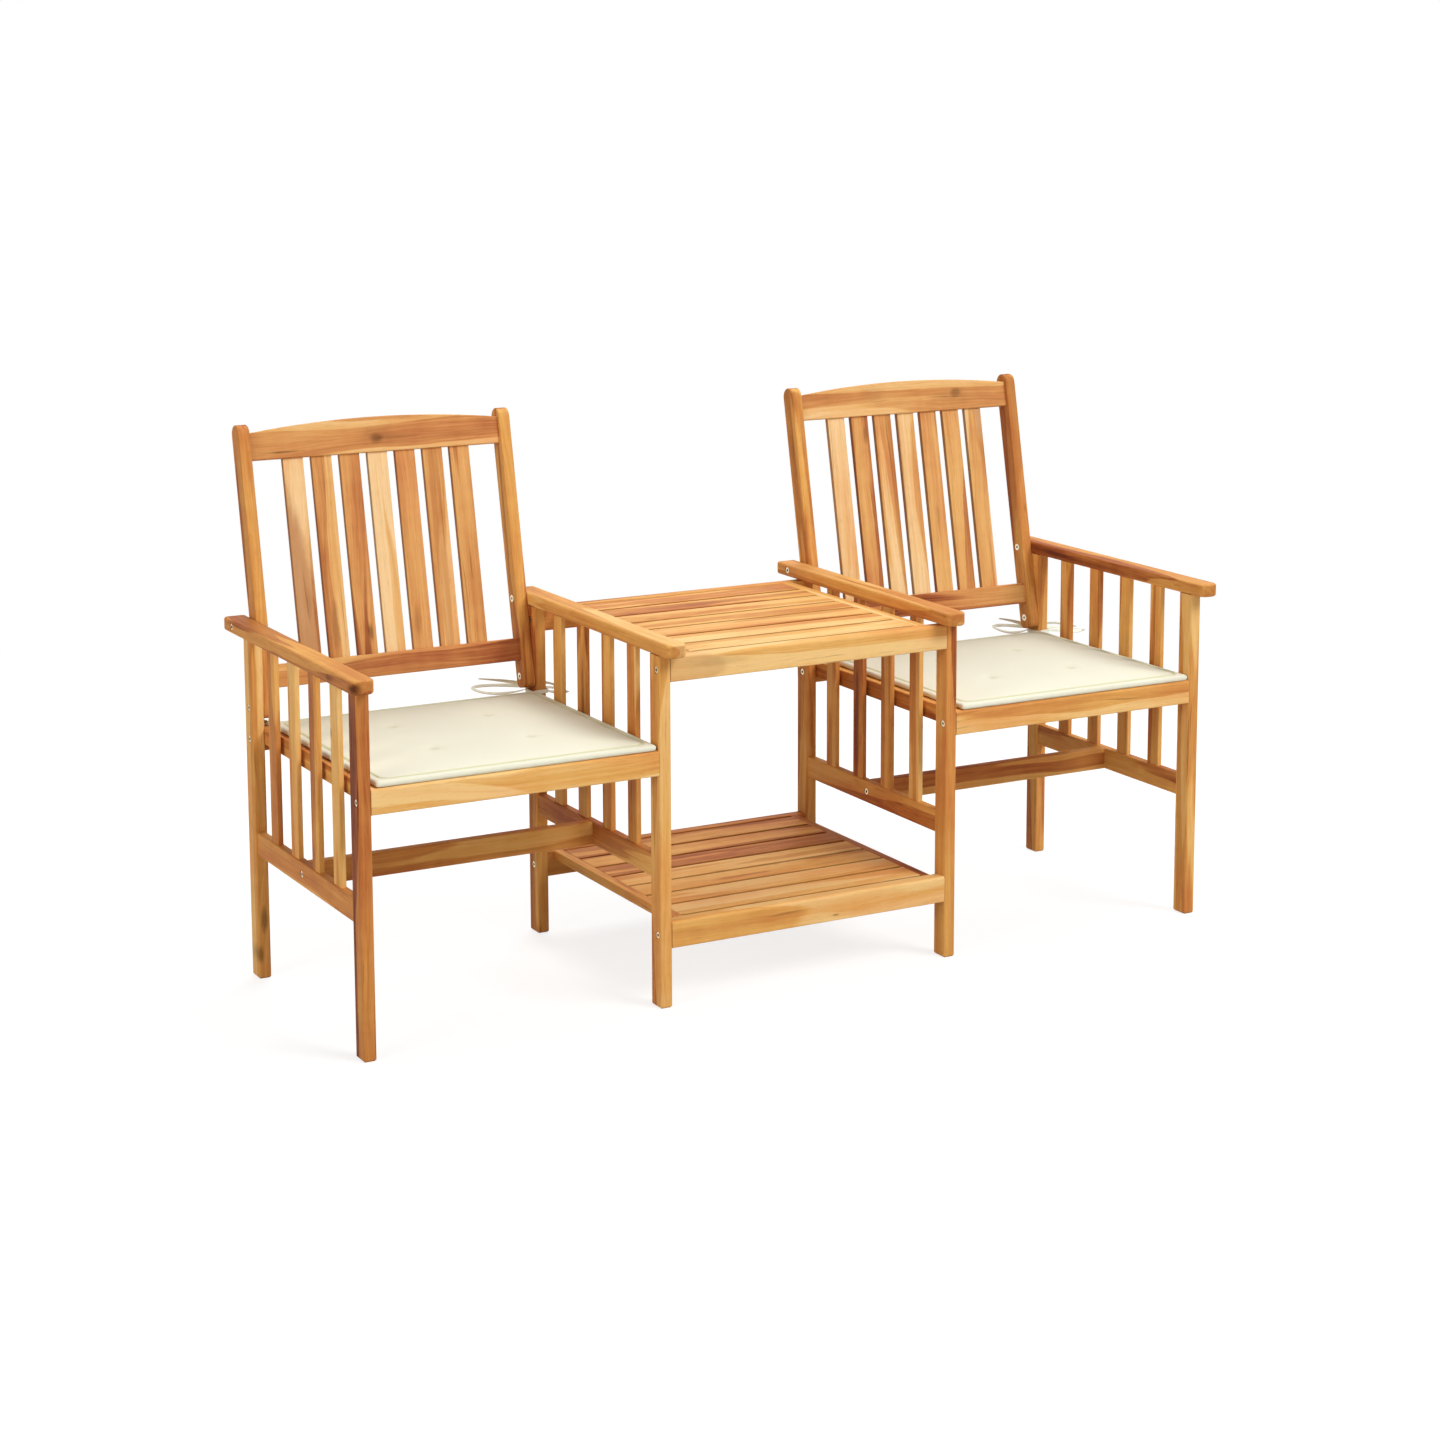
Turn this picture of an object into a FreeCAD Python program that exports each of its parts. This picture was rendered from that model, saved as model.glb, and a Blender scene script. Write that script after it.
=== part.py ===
import FreeCAD, Part
import math
import os
import re
import Sketcher

# Companion seat: two slatted armchairs joined by a slatted table top and a lower shelf.
# X runs along the bench, the sitters face -Y, Z is up. The origin is on the floor,
# in the middle of the bench's outline.

Vector = FreeCAD.Vector
Rotation = FreeCAD.Rotation
Placement = FreeCAD.Placement

doc = FreeCAD.newDocument("CompanionSeat")

# Driving sizes in millimetres and degrees
SIZES = {
    # Overall layout
    "table_span": 512,
    "chair_width": 523,
    "frame_depth": 492,
    "total_height": 901,
    # Legs
    "leg_width": 21,
    "leg_depth": 33,
    "leg_height": 571,
    "leg_round": 3,
    "foot_chamfer": 2.5,
    # Armrests
    "arm_thick": 22,
    "arm_overhang": 16,
    "arm_front_overhang": 31,
    "arm_rear_overhang": 48,
    "arm_front_corner": 15,
    "arm_rear_corner": 6,
    "arm_round": 4,
    # Lower side rails and the slats that stand on them
    "rail_bottom": 209,
    "rail_height": 38,
    "rail_thick": 15,
    "side_slat_width": 31,
    "side_slat_thick": 9,
    "side_slat_count": 4,
    # Cross bar between the side rails of a chair
    "bar_thick": 20,
    "bar_behind_front": 258,
    # Edge roundings of rails and slats
    "board_round": 2,
    "slat_round": 1.5,
    "apron_round": 5,
    # Seat, table top and shelf: front apron, rear rail, side pieces and slats
    "apron_thick": 22,
    "apron_height": 40,
    "rear_rail_thick": 20,
    "seat_height": 420,
    "seat_side_width": 27,
    "seat_side_height": 29,
    "table_height": 568,
    "table_batten_inset": 27,
    "table_batten_width": 22,
    "shelf_height": 141,
    "shelf_batten_inset": 14,
    "shelf_apron_height": 44,
    "batten_width": 16,
    "batten_height": 16,
    "deck_slat_width": 54,
    "deck_slat_thick": 12,
    "deck_slat_count": 7,
    # Raked back
    "back_rake": 11.5,
    "stile_width": 20,
    "stile_depth": 33,
    "stile_foot_clearance": 12,
    "stile_foot_below_bolt": 20,
    "stile_foot_round": 10,
    "back_rail_thick": 20,
    "top_rail_end_height": 45,
    "top_rail_rise": 14,
    "top_rail_drop": 1,
    "low_rail_above_bolt": 27,
    "low_rail_height": 38,
    "back_slat_width": 35,
    "back_slat_thick": 10,
    "back_slat_pitch": 49.2,
    "back_slat_count": 7,
    # Bolts and sleeve nuts
    "bolt_shank": 6,
    "bolt_bore": 6.6,
    "bolt_head": 12,
    "bolt_head_thick": 3,
    "bolt_head_bevel": 0.8,
    "bolt_recess": 13,
    "bolt_recess_depth": 4,
    "bolt_socket": 5,
    "bolt_socket_depth": 2,
    "bolt_reach": 30,
    "nut_flange": 12,
    "nut_flange_thick": 1.5,
    "nut_barrel_length": 5,
    "end_play": 1,
    # Seat pads
    "pad_side_play": 23,
    "left_pad_shift": 4.5,
    "right_pad_shift": 10.5,
    "pad_front_gap": 1,
    "pad_rear_gap": 8,
    "pad_edge": 10,
    "pad_side_bulge": 4,
    "pad_crown": 8,
    "pad_least_crown": 0.4,
    "pad_border": 13,
    "pad_corner": 9,
    "pad_seam_corner": 10,
    "pad_channel": 2.4,
    "tuft_spacing_across": 166,
    "tuft_spacing_deep": 168,
    "tuft_radius": 12,
    "tuft_depth": 3,
    "soft_gap": 0.3,
    # Ties that hold the pads to the rear legs
    "tie_thick": 4,
    "tie_knot": 13,
    "tie_gap": 0.5,
    "tie_lift": 5,
    "left_hand_tie_reach": 50,
    "left_tie_reach": 102,
    "left_tie_spread": 80,
    "right_tie_reach": 72,
    "right_tie_spread": 130,
}

# Places and lengths that follow from the driving sizes
DERIVED = {
    "chair_offset": "(table_span + chair_width) / 2",
    "seat_clear": "chair_width - 2 * leg_width",
    "arm_width": "leg_width + arm_overhang",
    "stile_bolt_height": "seat_height + stile_foot_clearance + stile_foot_below_bolt",
    "pad_width": "seat_clear - pad_side_play",
    "pad_depth": "frame_depth - leg_depth - pad_front_gap - pad_rear_gap",
    "arm_length": "arm_front_overhang + frame_depth + arm_rear_overhang",
    "stile_top_centre": "total_height - stile_depth / 2",
    "stile_lean": "(stile_top_centre - stile_bolt_height) * tan(back_rake * 1 deg)",
    "total_depth": "arm_front_overhang + frame_depth - leg_depth / 2 + stile_lean + stile_depth / 2",
    "leg_front": "arm_front_overhang - total_depth / 2",
    "leg_rear": "leg_front + frame_depth",
    "leg_gap": "frame_depth - 2 * leg_depth",
    "front_bolt_y": "leg_front + apron_thick / 2",
    "rear_bolt_y": "leg_rear - leg_depth / 2",
    "rear_rail_front": "rear_bolt_y - rear_rail_thick / 2",
    "deck_front": "leg_front + apron_thick",
    "deck_depth": "rear_rail_front - deck_front",
    "deck_gap": "(deck_depth - deck_slat_count * deck_slat_width) / (deck_slat_count + 1)",
    "deck_pitch": "deck_slat_width + deck_gap",
    "side_slat_gap": "(leg_gap - side_slat_count * side_slat_width) / (side_slat_count + 1)",
    "rail_top": "rail_bottom + rail_height",
    "rail_inset": "(leg_width - rail_thick) / 2",
    "bar_y": "leg_front + bar_behind_front",
    "bar_z": "rail_bottom + rail_height / 2",
    "bar_length": "chair_width - 2 * rail_inset - 2 * rail_thick",
    "seat_bolt_z": "seat_height - apron_height / 2",
    "table_bolt_z": "table_height - apron_height / 2",
    "shelf_bolt_z": "shelf_height - shelf_apron_height / 2",
    "arm_bolt_z": "leg_height + arm_thick / 2",
    "arm_bolt_rise": "(arm_bolt_z - stile_bolt_height) / cos(back_rake * 1 deg)",
    "arm_bolt_y": "rear_bolt_y + (arm_bolt_z - stile_bolt_height) * tan(back_rake * 1 deg)",
    "back_clear": "seat_clear - 2 * stile_width",
    "stile_top_rise": "(stile_top_centre - stile_bolt_height) / cos(back_rake * 1 deg) + stile_depth / 2",
    "top_rail_foot": "stile_top_rise - top_rail_drop - top_rail_rise - top_rail_end_height",
    "low_rail_top": "low_rail_above_bolt + low_rail_height",
    "back_slat_length": "top_rail_foot - low_rail_top",
    "back_slat_run": "back_slat_pitch * (back_slat_count - 1) + back_slat_width",
    "pad_front": "leg_front + pad_front_gap",
    "pad_rear": "pad_front + pad_depth",
    "pad_floor": "seat_height + soft_gap",
}

sheet = doc.addObject("Spreadsheet::Sheet", "Sizes")
for row, (alias, value) in enumerate(SIZES.items(), 1):
    sheet.set(f"A{row}", alias)
    sheet.set(f"B{row}", str(value))
    sheet.setAlias(f"B{row}", alias)
doc.recompute()

WORD = re.compile(r"[A-Za-z_][A-Za-z_0-9]*")


def formula(text):
    """Spell a size, a place or a sum of them out as an expression on the sheet's cells."""
    def spell(match):
        word = match.group(0)
        if word in DERIVED:
            return "(" + formula(DERIVED[word]) + ")"
        return "Sizes." + word if word in SIZES else word
    return WORD.sub(spell, str(text))


def number(text):
    """Value of a size, a place or a sum of them."""
    return float(sheet.evalExpression(formula(text)))


def bind(item, path, text):
    """Tie a property of a document object to the sheet."""
    item.setExpression(path, formula(text))


# Bodies, sketches and features

LYING_X = Rotation(Vector(1, 1, 1), 120)
LYING_Y = Rotation(Vector(1, 1, 1), 240)
UPRIGHT = Rotation()
PARTS = []


def new_body(label, place, turn=UPRIGHT):
    """Body whose origin stands at the three given places."""
    body = doc.addObject("PartDesign::Body", label)
    body.Label = label
    body.AllowCompound = True
    body.Placement = Placement(Vector(0, 0, 0), turn)
    for axis, text in zip("xyz", place):
        bind(body, f"Placement.Base.{axis}", text)
    PARTS.append(body)
    return body


def new_sketch(body, role, shift=("0", "0", "0")):
    """Sketch on one of the body's own origin planes, moved by the given places."""
    support = [plane for plane in body.Origin.OriginFeatures if plane.Role == role][0]
    sketch = body.newObject("Sketcher::SketchObject", "Sketch")
    sketch.AttachmentSupport = (support, [""])
    sketch.MapMode = "FlatFace"
    for axis, text in zip("xyz", shift):
        if text != "0":
            bind(sketch, f"AttachmentOffset.Base.{axis}", text)
    return sketch


def fix(sketch, kind, *where, size):
    """Dimension a sketch by a place or size from the sheet."""
    index = sketch.addConstraint(Sketcher.Constraint(kind, *where, number(size)))
    bind(sketch, f"Constraints[{index}]", size)


def rectangle(sketch, across, along):
    """Rectangle with one corner on the sketch's origin."""
    width = number(across)
    height = number(along)
    corners = [Vector(0, 0, 0), Vector(width, 0, 0), Vector(width, height, 0), Vector(0, height, 0)]
    for start, end in zip(corners, corners[1:] + corners[:1]):
        sketch.addGeometry(Part.LineSegment(start, end))
    for side in range(4):
        sketch.addConstraint(Sketcher.Constraint("Coincident", side, 2, (side + 1) % 4, 1))
    for side, kind in enumerate(["Horizontal", "Vertical", "Horizontal", "Vertical"]):
        sketch.addConstraint(Sketcher.Constraint(kind, side))
    sketch.addConstraint(Sketcher.Constraint("Coincident", 0, 1, -1, 1))
    fix(sketch, "DistanceX", 0, 1, 0, 2, size=across)
    fix(sketch, "DistanceY", 1, 1, 1, 2, size=along)


def circles(sketch, centres, diameter):
    """Circles at centres measured from the sketch's origin."""
    for across, along in centres:
        index = sketch.addGeometry(
            Part.Circle(Vector(number(across), number(along), 0), Vector(0, 0, 1), number(diameter) / 2))
        fix(sketch, "DistanceX", -1, 1, index, 3, size=across)
        fix(sketch, "DistanceY", -1, 1, index, 3, size=along)
        fix(sketch, "Diameter", index, size=diameter)


def pad(body, sketch, length, backwards=False, both_ways=False):
    """Extrude a sketch."""
    feature = body.newObject("PartDesign::Pad", "Pad")
    feature.Profile = sketch
    bind(feature, "Length", length)
    feature.Reversed = backwards
    feature.Midplane = both_ways
    doc.recompute()
    return feature


def edges_where(shape, test):
    """Names of the edges that pass a test."""
    return [f"Edge{index}" for index, edge in enumerate(shape.Edges, 1) if test(edge)]


def runs_along(direction):
    """Test for straight edges that run along a direction."""
    def test(edge):
        if edge.Curve.TypeId != "Part::GeomLine":
            return False
        return abs(edge.tangentAt(edge.FirstParameter).dot(direction)) > 0.999
    return test


def lies_at(level):
    """Test for edges that lie flat at a height of the body."""
    def test(edge):
        return abs(edge.BoundBox.ZMin - level) < 1e-6 and abs(edge.BoundBox.ZMax - level) < 1e-6
    return test


def soften(body, test, radius, kind="PartDesign::Fillet", key="Radius"):
    """Round or bevel the edges of the body's last feature that pass a test."""
    feature = body.newObject(kind, "Edge")
    feature.Base = (body.Tip if body.Tip != feature else feature.BaseFeature, [])
    base = feature.Base[0]
    feature.Base = (base, edges_where(base.Shape, test))
    bind(feature, key, radius)
    doc.recompute()
    return feature


def repeat(body, direction, pitch, count):
    """Row of copies of the whole body."""
    feature = body.newObject("PartDesign::LinearPattern", "Row")
    feature.TransformMode = "Whole shape"
    feature.Direction = direction
    feature.Mode = "Spacing"
    bind(feature, "Offset", pitch)
    bind(feature, "Occurrences", count)
    body.Tip = feature
    doc.recompute()
    return feature


def bar(label, lying, section, length, corner, edge="board_round"):
    """Straight piece of rectangular section with rounded long edges.

    Its section is given in the order of the axes that follow its length: Y and Z for a
    piece along X, Z and X for one along Y, X and Y for an upright one.
    """
    body = new_body(label, corner, lying)
    sketch = new_sketch(body, "XY_Plane")
    rectangle(sketch, *section)
    pad(body, sketch, length)
    if edge:
        soften(body, runs_along(Vector(0, 0, 1)), edge)
    return body


def drill(body, role, centres, far_side=None):
    """Bolt holes right through, with the recess for the head on the near or the far side."""
    outward = 1 if role == "YZ_Plane" else -1
    shift = "0" if far_side is None else ("" if outward == 1 else "-1 * ") + f"({far_side})"
    sketch = new_sketch(body, role, ("0", "0", shift))
    circles(sketch, centres, "bolt_bore")
    doc.recompute()
    before = body.Shape.Volume
    hole = body.newObject("PartDesign::Hole", "BoltHole")
    hole.Profile = sketch
    doc.recompute()
    hole.DepthType = "ThroughAll"
    hole.HoleCutType = "Counterbore"
    hole.HoleCutCustomValues = True
    bind(hole, "Diameter", "bolt_bore")
    bind(hole, "HoleCutDiameter", "bolt_recess")
    bind(hole, "HoleCutDepth", "bolt_recess_depth")
    hole.Reversed = (far_side is None) == (outward == 1)
    doc.recompute()
    if body.Shape.Volume > before - 1:
        raise RuntimeError(f"{body.Label}: the bolt holes miss the wood")


def bore(body, role, centres, depth, far_side=None):
    """Blind holes, or through holes if the depth says so, from one side of a body."""
    sketch = new_sketch(body, role, ("0", "0", far_side or "0"))
    circles(sketch, centres, "bolt_bore")
    doc.recompute()
    before = body.Shape.Volume
    pocket = body.newObject("PartDesign::Pocket", "Bore")
    pocket.Profile = sketch
    bind(pocket, "Length", depth)
    pocket.Reversed = far_side is None
    doc.recompute()
    if body.Shape.Volume > before - 1:
        raise RuntimeError(f"{body.Label}: the bore misses the wood")


# Where the parts of each chair stand

CHAIRS = {"left": "-1 * chair_offset", "right": "chair_offset"}


def frame_side(chair, frame):
    """-1 for the frame on a chair's left, 1 for the frame on its right."""
    return -1 if (chair == "left") == (frame == "outer") else 1


def leg_x(chair, frame):
    """Left face of a frame's legs."""
    centre = CHAIRS[chair]
    if frame_side(chair, frame) < 0:
        return f"{centre} - chair_width / 2"
    return f"{centre} + chair_width / 2 - leg_width"


def stile_x(chair, frame):
    """Left face of the back stile that stands against a frame."""
    if frame_side(chair, frame) < 0:
        return f"{leg_x(chair, frame)} + leg_width"
    return f"{leg_x(chair, frame)} - stile_width"


# Side frames

def make_leg(label, chair, frame, is_front):
    """Leg with a bolt hole for each rail that ends on it."""
    side = frame_side(chair, frame)
    place_y = "leg_front" if is_front else "leg_rear - leg_depth"
    body = bar(label, UPRIGHT, ("leg_width", "leg_depth"), "leg_height",
               (leg_x(chair, frame), place_y, "0"), edge="leg_round")
    soften(body, lies_at(0), "foot_chamfer", kind="PartDesign::Chamfer", key="Size")
    bolt_y = "front_bolt_y - leg_front" if is_front else "leg_depth / 2"
    heights = ["seat_bolt_z"] if is_front else ["seat_bolt_z", "stile_bolt_height"]
    chair_face = None if side < 0 else "leg_width"
    drill(body, "YZ_Plane", [(bolt_y, height) for height in heights], chair_face)
    if frame == "inner":
        table_face = "leg_width" if side < 0 else None
        drill(body, "YZ_Plane", [(bolt_y, "table_bolt_z"), (bolt_y, "shelf_bolt_z")], table_face)
    return body


def make_arm(label, chair, frame):
    """Armrest board with rounded corners, flush with the legs' inner faces."""
    side = frame_side(chair, frame)
    place_x = f"{leg_x(chair, frame)} - arm_overhang" if side < 0 else leg_x(chair, frame)
    body = bar(label, UPRIGHT, ("arm_width", "arm_length"), "arm_thick",
               (place_x, "leg_front - arm_front_overhang", "leg_height"), edge=None)
    upright = runs_along(Vector(0, 0, 1))
    soften(body, lambda edge: upright(edge) and edge.CenterOfMass.y < 1, "arm_front_corner")
    rear = number("arm_length") - 1
    soften(body, lambda edge: upright(edge) and edge.CenterOfMass.y > rear, "arm_rear_corner")
    top = lies_at(number("arm_thick"))
    bottom = lies_at(0)
    soften(body, lambda edge: top(edge) or bottom(edge), "arm_round")
    bolt = ("arm_bolt_y - leg_front + arm_front_overhang", "arm_thick / 2")
    drill(body, "YZ_Plane", [bolt], None if side < 0 else "arm_width")
    return body


def make_side_rail(label, chair, frame):
    """Lower rail between the two legs of a frame, with the bolt hole of the cross bar."""
    side = frame_side(chair, frame)
    body = bar(label, LYING_Y, ("rail_height", "rail_thick"), "leg_gap",
               (f"{leg_x(chair, frame)} + rail_inset", "leg_front + leg_depth", "rail_bottom"))
    bolt = ("rail_height / 2", "bar_y - leg_front - leg_depth")
    drill(body, "XZ_Plane", [bolt], None if side < 0 else "rail_thick")
    return body


def make_side_slats(label, chair, frame):
    """Row of upright slats between the side rail and the armrest."""
    body = bar(label, UPRIGHT, ("side_slat_thick", "side_slat_width"), "leg_height - rail_top",
               (f"{leg_x(chair, frame)} + (leg_width - side_slat_thick) / 2",
                "leg_front + leg_depth + side_slat_gap", "rail_top"), edge="slat_round")
    sketch = [item for item in body.Group if item.TypeId == "Sketcher::SketchObject"][0]
    repeat(body, (sketch, ["V_Axis"]), "side_slat_width + side_slat_gap", "side_slat_count")
    return body


for chair in CHAIRS:
    for frame in ("outer", "inner"):
        name = f"{chair}_chair_{frame}"
        make_leg(f"{name}_front_leg", chair, frame, True)
        make_leg(f"{name}_rear_leg", chair, frame, False)
        make_arm(f"{name}_armrest", chair, frame)
        make_side_rail(f"{name}_side_rail", chair, frame)
        make_side_slats(f"{name}_side_slats", chair, frame)


# Decks: the seats, the table top and the shelf are built alike

def end_bored(body, centre, length):
    """Bores for the bolt shanks in both ends of a piece that lies along X."""
    depth = "bolt_reach + end_play"
    bore(body, "XY_Plane", [centre], depth)
    bore(body, "XY_Plane", [centre], depth, far_side=length)


def make_apron(label, left, length, top, height):
    """Front board between two legs, its top front edge well rounded."""
    body = bar(label, LYING_X, ("apron_thick", height), length,
               (left, "leg_front", f"{top} - {height}"), edge=None)
    along = runs_along(Vector(0, 0, 1))
    crest = number(height)

    def is_nose(edge):
        return along(edge) and edge.CenterOfMass.x < 1e-6 and abs(edge.CenterOfMass.y - crest) < 1e-6
    soften(body, is_nose, "apron_round")
    soften(body, lambda edge: along(edge) and (edge.CenterOfMass.y < 1e-6), "board_round")
    end_bored(body, ("apron_thick / 2", f"{height} / 2"), length)
    return body


def make_rear_rail(label, left, length, top, height):
    """Rear board between two legs, centred on them."""
    body = bar(label, LYING_X, ("rear_rail_thick", height), length,
               (left, "rear_rail_front", f"{top} - {height}"))
    end_bored(body, ("rear_rail_thick / 2", f"{height} / 2"), length)
    return body


def make_deck_slats(label, left, length, top):
    """Row of slats along X between the side pieces."""
    body = bar(label, LYING_X, ("deck_slat_width", "deck_slat_thick"), length,
               (left, "deck_front + deck_gap", f"{top} - deck_slat_thick"), edge="slat_round")
    sketch = [item for item in body.Group if item.TypeId == "Sketcher::SketchObject"][0]
    repeat(body, (sketch, ["H_Axis"]), "deck_pitch", "deck_slat_count")
    return body


def make_deck(name, centre, span, top, height, inset, side_width, side_height, side_edge):
    """Apron, rear rail, two side pieces and the slats between them."""
    left = f"{centre} - ({span}) / 2"
    make_apron(f"{name}_front_apron", left, span, top, height)
    make_rear_rail(f"{name}_rear_rail", left, span, top, height)
    for hand, place in (("left", f"{left} + {inset}"),
                        ("right", f"{left} + ({span}) - {inset} - {side_width}")):
        bar(f"{name}_{hand}_side_piece", LYING_Y, (side_height, side_width), "deck_depth",
            (place, "deck_front", f"{top} - {side_height}"), edge=side_edge)
    make_deck_slats(f"{name}_slats", f"{left} + {inset} + {side_width}",
                    f"({span}) - 2 * ({inset} + {side_width})", top)


for chair, centre in CHAIRS.items():
    make_deck(f"{chair}_seat", centre, "seat_clear", "seat_height", "apron_height",
              "0", "seat_side_width", "seat_side_height", "board_round")
make_deck("table", "0", "table_span", "table_height", "apron_height",
          "table_batten_inset", "table_batten_width", "batten_height", "board_round")
make_deck("shelf", "0", "table_span", "shelf_height", "shelf_apron_height",
          "shelf_batten_inset", "batten_width", "batten_height", "board_round")

# Cross bars

for chair, centre in CHAIRS.items():
    crossing = bar(f"{chair}_chair_cross_bar", LYING_X, ("bar_thick", "rail_height"), "bar_length",
                   (f"{centre} - bar_length / 2", "bar_y - bar_thick / 2", "rail_bottom"))
    end_bored(crossing, ("bar_thick / 2", "rail_height / 2"), "bar_length")


# Raked backs: every piece is drawn in the plane of the back, from the lower stile bolt up

def back_body(label, place_x):
    """Body that leans back about the lower stile bolt."""
    body = new_body(label, (place_x, "rear_bolt_y", "stile_bolt_height"),
                    Rotation(Vector(-1, 0, 0), number("back_rake")))
    bind(body, "Placement.Rotation.Angle", "back_rake * 1 deg")
    return body


def make_stile(label, chair, frame):
    """Stile with a half round top and rounded foot."""
    body = back_body(label, stile_x(chair, frame))
    sketch = new_sketch(body, "YZ_Plane", ("-1 * stile_depth / 2", "-1 * stile_foot_below_bolt", "0"))
    rectangle(sketch, "stile_depth", "stile_top_rise + stile_foot_below_bolt")
    pad(body, sketch, "stile_width")
    across = runs_along(Vector(1, 0, 0))
    soften(body, lambda edge: across(edge) and edge.CenterOfMass.z > 0, "stile_depth / 2 - 0.01")
    soften(body, lambda edge: across(edge) and edge.CenterOfMass.z < 0, "stile_foot_round")
    crest = number("stile_top_rise")
    half = number("stile_depth") / 2

    def is_outline(edge):
        flat = edge.BoundBox.XLength < 1e-6
        return flat and edge.BoundBox.ZMax < crest + half
    soften(body, is_outline, "board_round")
    sketch = new_sketch(body, "YZ_Plane")
    for height in ("0", "arm_bolt_rise"):
        index = sketch.addGeometry(
            Part.Circle(Vector(0, number(height), 0), Vector(0, 0, 1), number("bolt_bore") / 2))
        sketch.addConstraint(Sketcher.Constraint("PointOnObject", index, 3, -2))
        fix(sketch, "Diameter", index, size="bolt_bore")
        if height == "0":
            sketch.addConstraint(Sketcher.Constraint("PointOnObject", index, 3, -1))
        else:
            fix(sketch, "DistanceY", -1, 1, index, 3, size=height)
    doc.recompute()
    before = body.Shape.Volume
    pocket = body.newObject("PartDesign::Pocket", "Bore")
    pocket.Profile = sketch
    bind(pocket, "Length", "stile_width")
    pocket.Reversed = True
    doc.recompute()
    if body.Shape.Volume > before - 1:
        raise RuntimeError(f"{label}: the bores miss the wood")
    return body


def make_top_rail(label, place_x):
    """Top rail, straight below and arched above."""
    body = back_body(label, place_x)
    sketch = new_sketch(body, "XZ_Plane", ("0", "top_rail_foot", "0"))
    width = number("back_clear")
    end = number("top_rail_end_height")
    crest = end + number("top_rail_rise")
    sketch.addGeometry(Part.LineSegment(Vector(0, 0, 0), Vector(width, 0, 0)))
    sketch.addGeometry(Part.LineSegment(Vector(width, 0, 0), Vector(width, end, 0)))
    sketch.addGeometry(Part.Arc(Vector(width, end, 0), Vector(width / 2, crest, 0), Vector(0, end, 0)))
    sketch.addGeometry(Part.LineSegment(Vector(0, end, 0), Vector(0, 0, 0)))
    crown = sketch.addGeometry(Part.Point(Vector(width / 2, crest, 0)), True)
    for first, second in ((0, 1), (3, 0)):
        sketch.addConstraint(Sketcher.Constraint("Coincident", first, 2, second, 1))
    sketch.addConstraint(Sketcher.Constraint("Coincident", 1, 2, 2, 1))
    sketch.addConstraint(Sketcher.Constraint("Coincident", 2, 2, 3, 1))
    sketch.addConstraint(Sketcher.Constraint("Coincident", 0, 1, -1, 1))
    sketch.addConstraint(Sketcher.Constraint("Horizontal", 0))
    sketch.addConstraint(Sketcher.Constraint("Vertical", 1))
    sketch.addConstraint(Sketcher.Constraint("Vertical", 3))
    sketch.addConstraint(Sketcher.Constraint("PointOnObject", crown, 1, 2))
    fix(sketch, "DistanceX", 0, 1, 0, 2, size="back_clear")
    fix(sketch, "DistanceY", 1, 1, 1, 2, size="top_rail_end_height")
    fix(sketch, "DistanceY", 3, 2, 3, 1, size="top_rail_end_height")
    fix(sketch, "DistanceX", -1, 1, crown, 1, size="back_clear / 2")
    fix(sketch, "DistanceY", -1, 1, crown, 1, size="top_rail_end_height + top_rail_rise")
    pad(body, sketch, "back_rail_thick", both_ways=True)

    def is_long(edge):
        return edge.BoundBox.XLength > width / 2
    soften(body, is_long, "board_round")
    return body


def make_low_rail(label, place_x):
    """Straight lower rail of the back."""
    body = back_body(label, place_x)
    sketch = new_sketch(body, "XZ_Plane", ("0", "low_rail_above_bolt", "0"))
    rectangle(sketch, "back_clear", "low_rail_height")
    pad(body, sketch, "back_rail_thick", both_ways=True)
    soften(body, runs_along(Vector(1, 0, 0)), "board_round")
    return body


def make_back_slats(label, place_x):
    """Row of upright slats between the back's two rails."""
    body = back_body(label, place_x)
    sketch = new_sketch(body, "XY_Plane",
                        ("(back_clear - back_slat_run) / 2", "-1 * back_slat_thick / 2", "low_rail_top"))
    rectangle(sketch, "back_slat_width", "back_slat_thick")
    pad(body, sketch, "back_slat_length")
    soften(body, runs_along(Vector(0, 0, 1)), "slat_round")
    repeat(body, (sketch, ["H_Axis"]), "back_slat_pitch", "back_slat_count")
    return body


for chair, centre in CHAIRS.items():
    inside = f"{centre} - back_clear / 2"
    for frame in ("outer", "inner"):
        make_stile(f"{chair}_back_{frame}_stile", chair, frame)
    make_top_rail(f"{chair}_back_top_rail", inside)
    make_low_rail(f"{chair}_back_bottom_rail", inside)
    make_back_slats(f"{chair}_back_slats", inside)


def new_feature(label, shape):
    """Document object for a shape that is made directly."""
    item = doc.addObject("Part::Feature", label)
    item.Label = label
    item.Shape = shape
    item.Placement = Placement()
    PARTS.append(item)
    return item


# Bolts and sleeve nuts

def make_bolt(length):
    """Hex socket bolt along +X: its head's outer face is at 0 and its shank ends at length."""
    head = Part.makeCylinder(number("bolt_head") / 2, number("bolt_head_thick"),
                             Vector(0, 0, 0), Vector(1, 0, 0))
    rim = [edge for edge in head.Edges if edge.Closed and edge.BoundBox.XMax < 1e-6]
    head = head.makeChamfer(number("bolt_head_bevel"), rim)
    reach = number("bolt_socket") / math.sqrt(3)
    corners = [Vector(0, reach * math.cos(math.radians(60 * turn)), reach * math.sin(math.radians(60 * turn)))
               for turn in range(7)]
    socket = Part.Face(Part.makePolygon(corners)).extrude(Vector(number("bolt_socket_depth"), 0, 0))
    shank = Part.makeCylinder(number("bolt_shank") / 2, length - number("bolt_head_thick"),
                              Vector(number("bolt_head_thick"), 0, 0), Vector(1, 0, 0))
    return head.cut(socket).fuse(shank)


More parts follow.
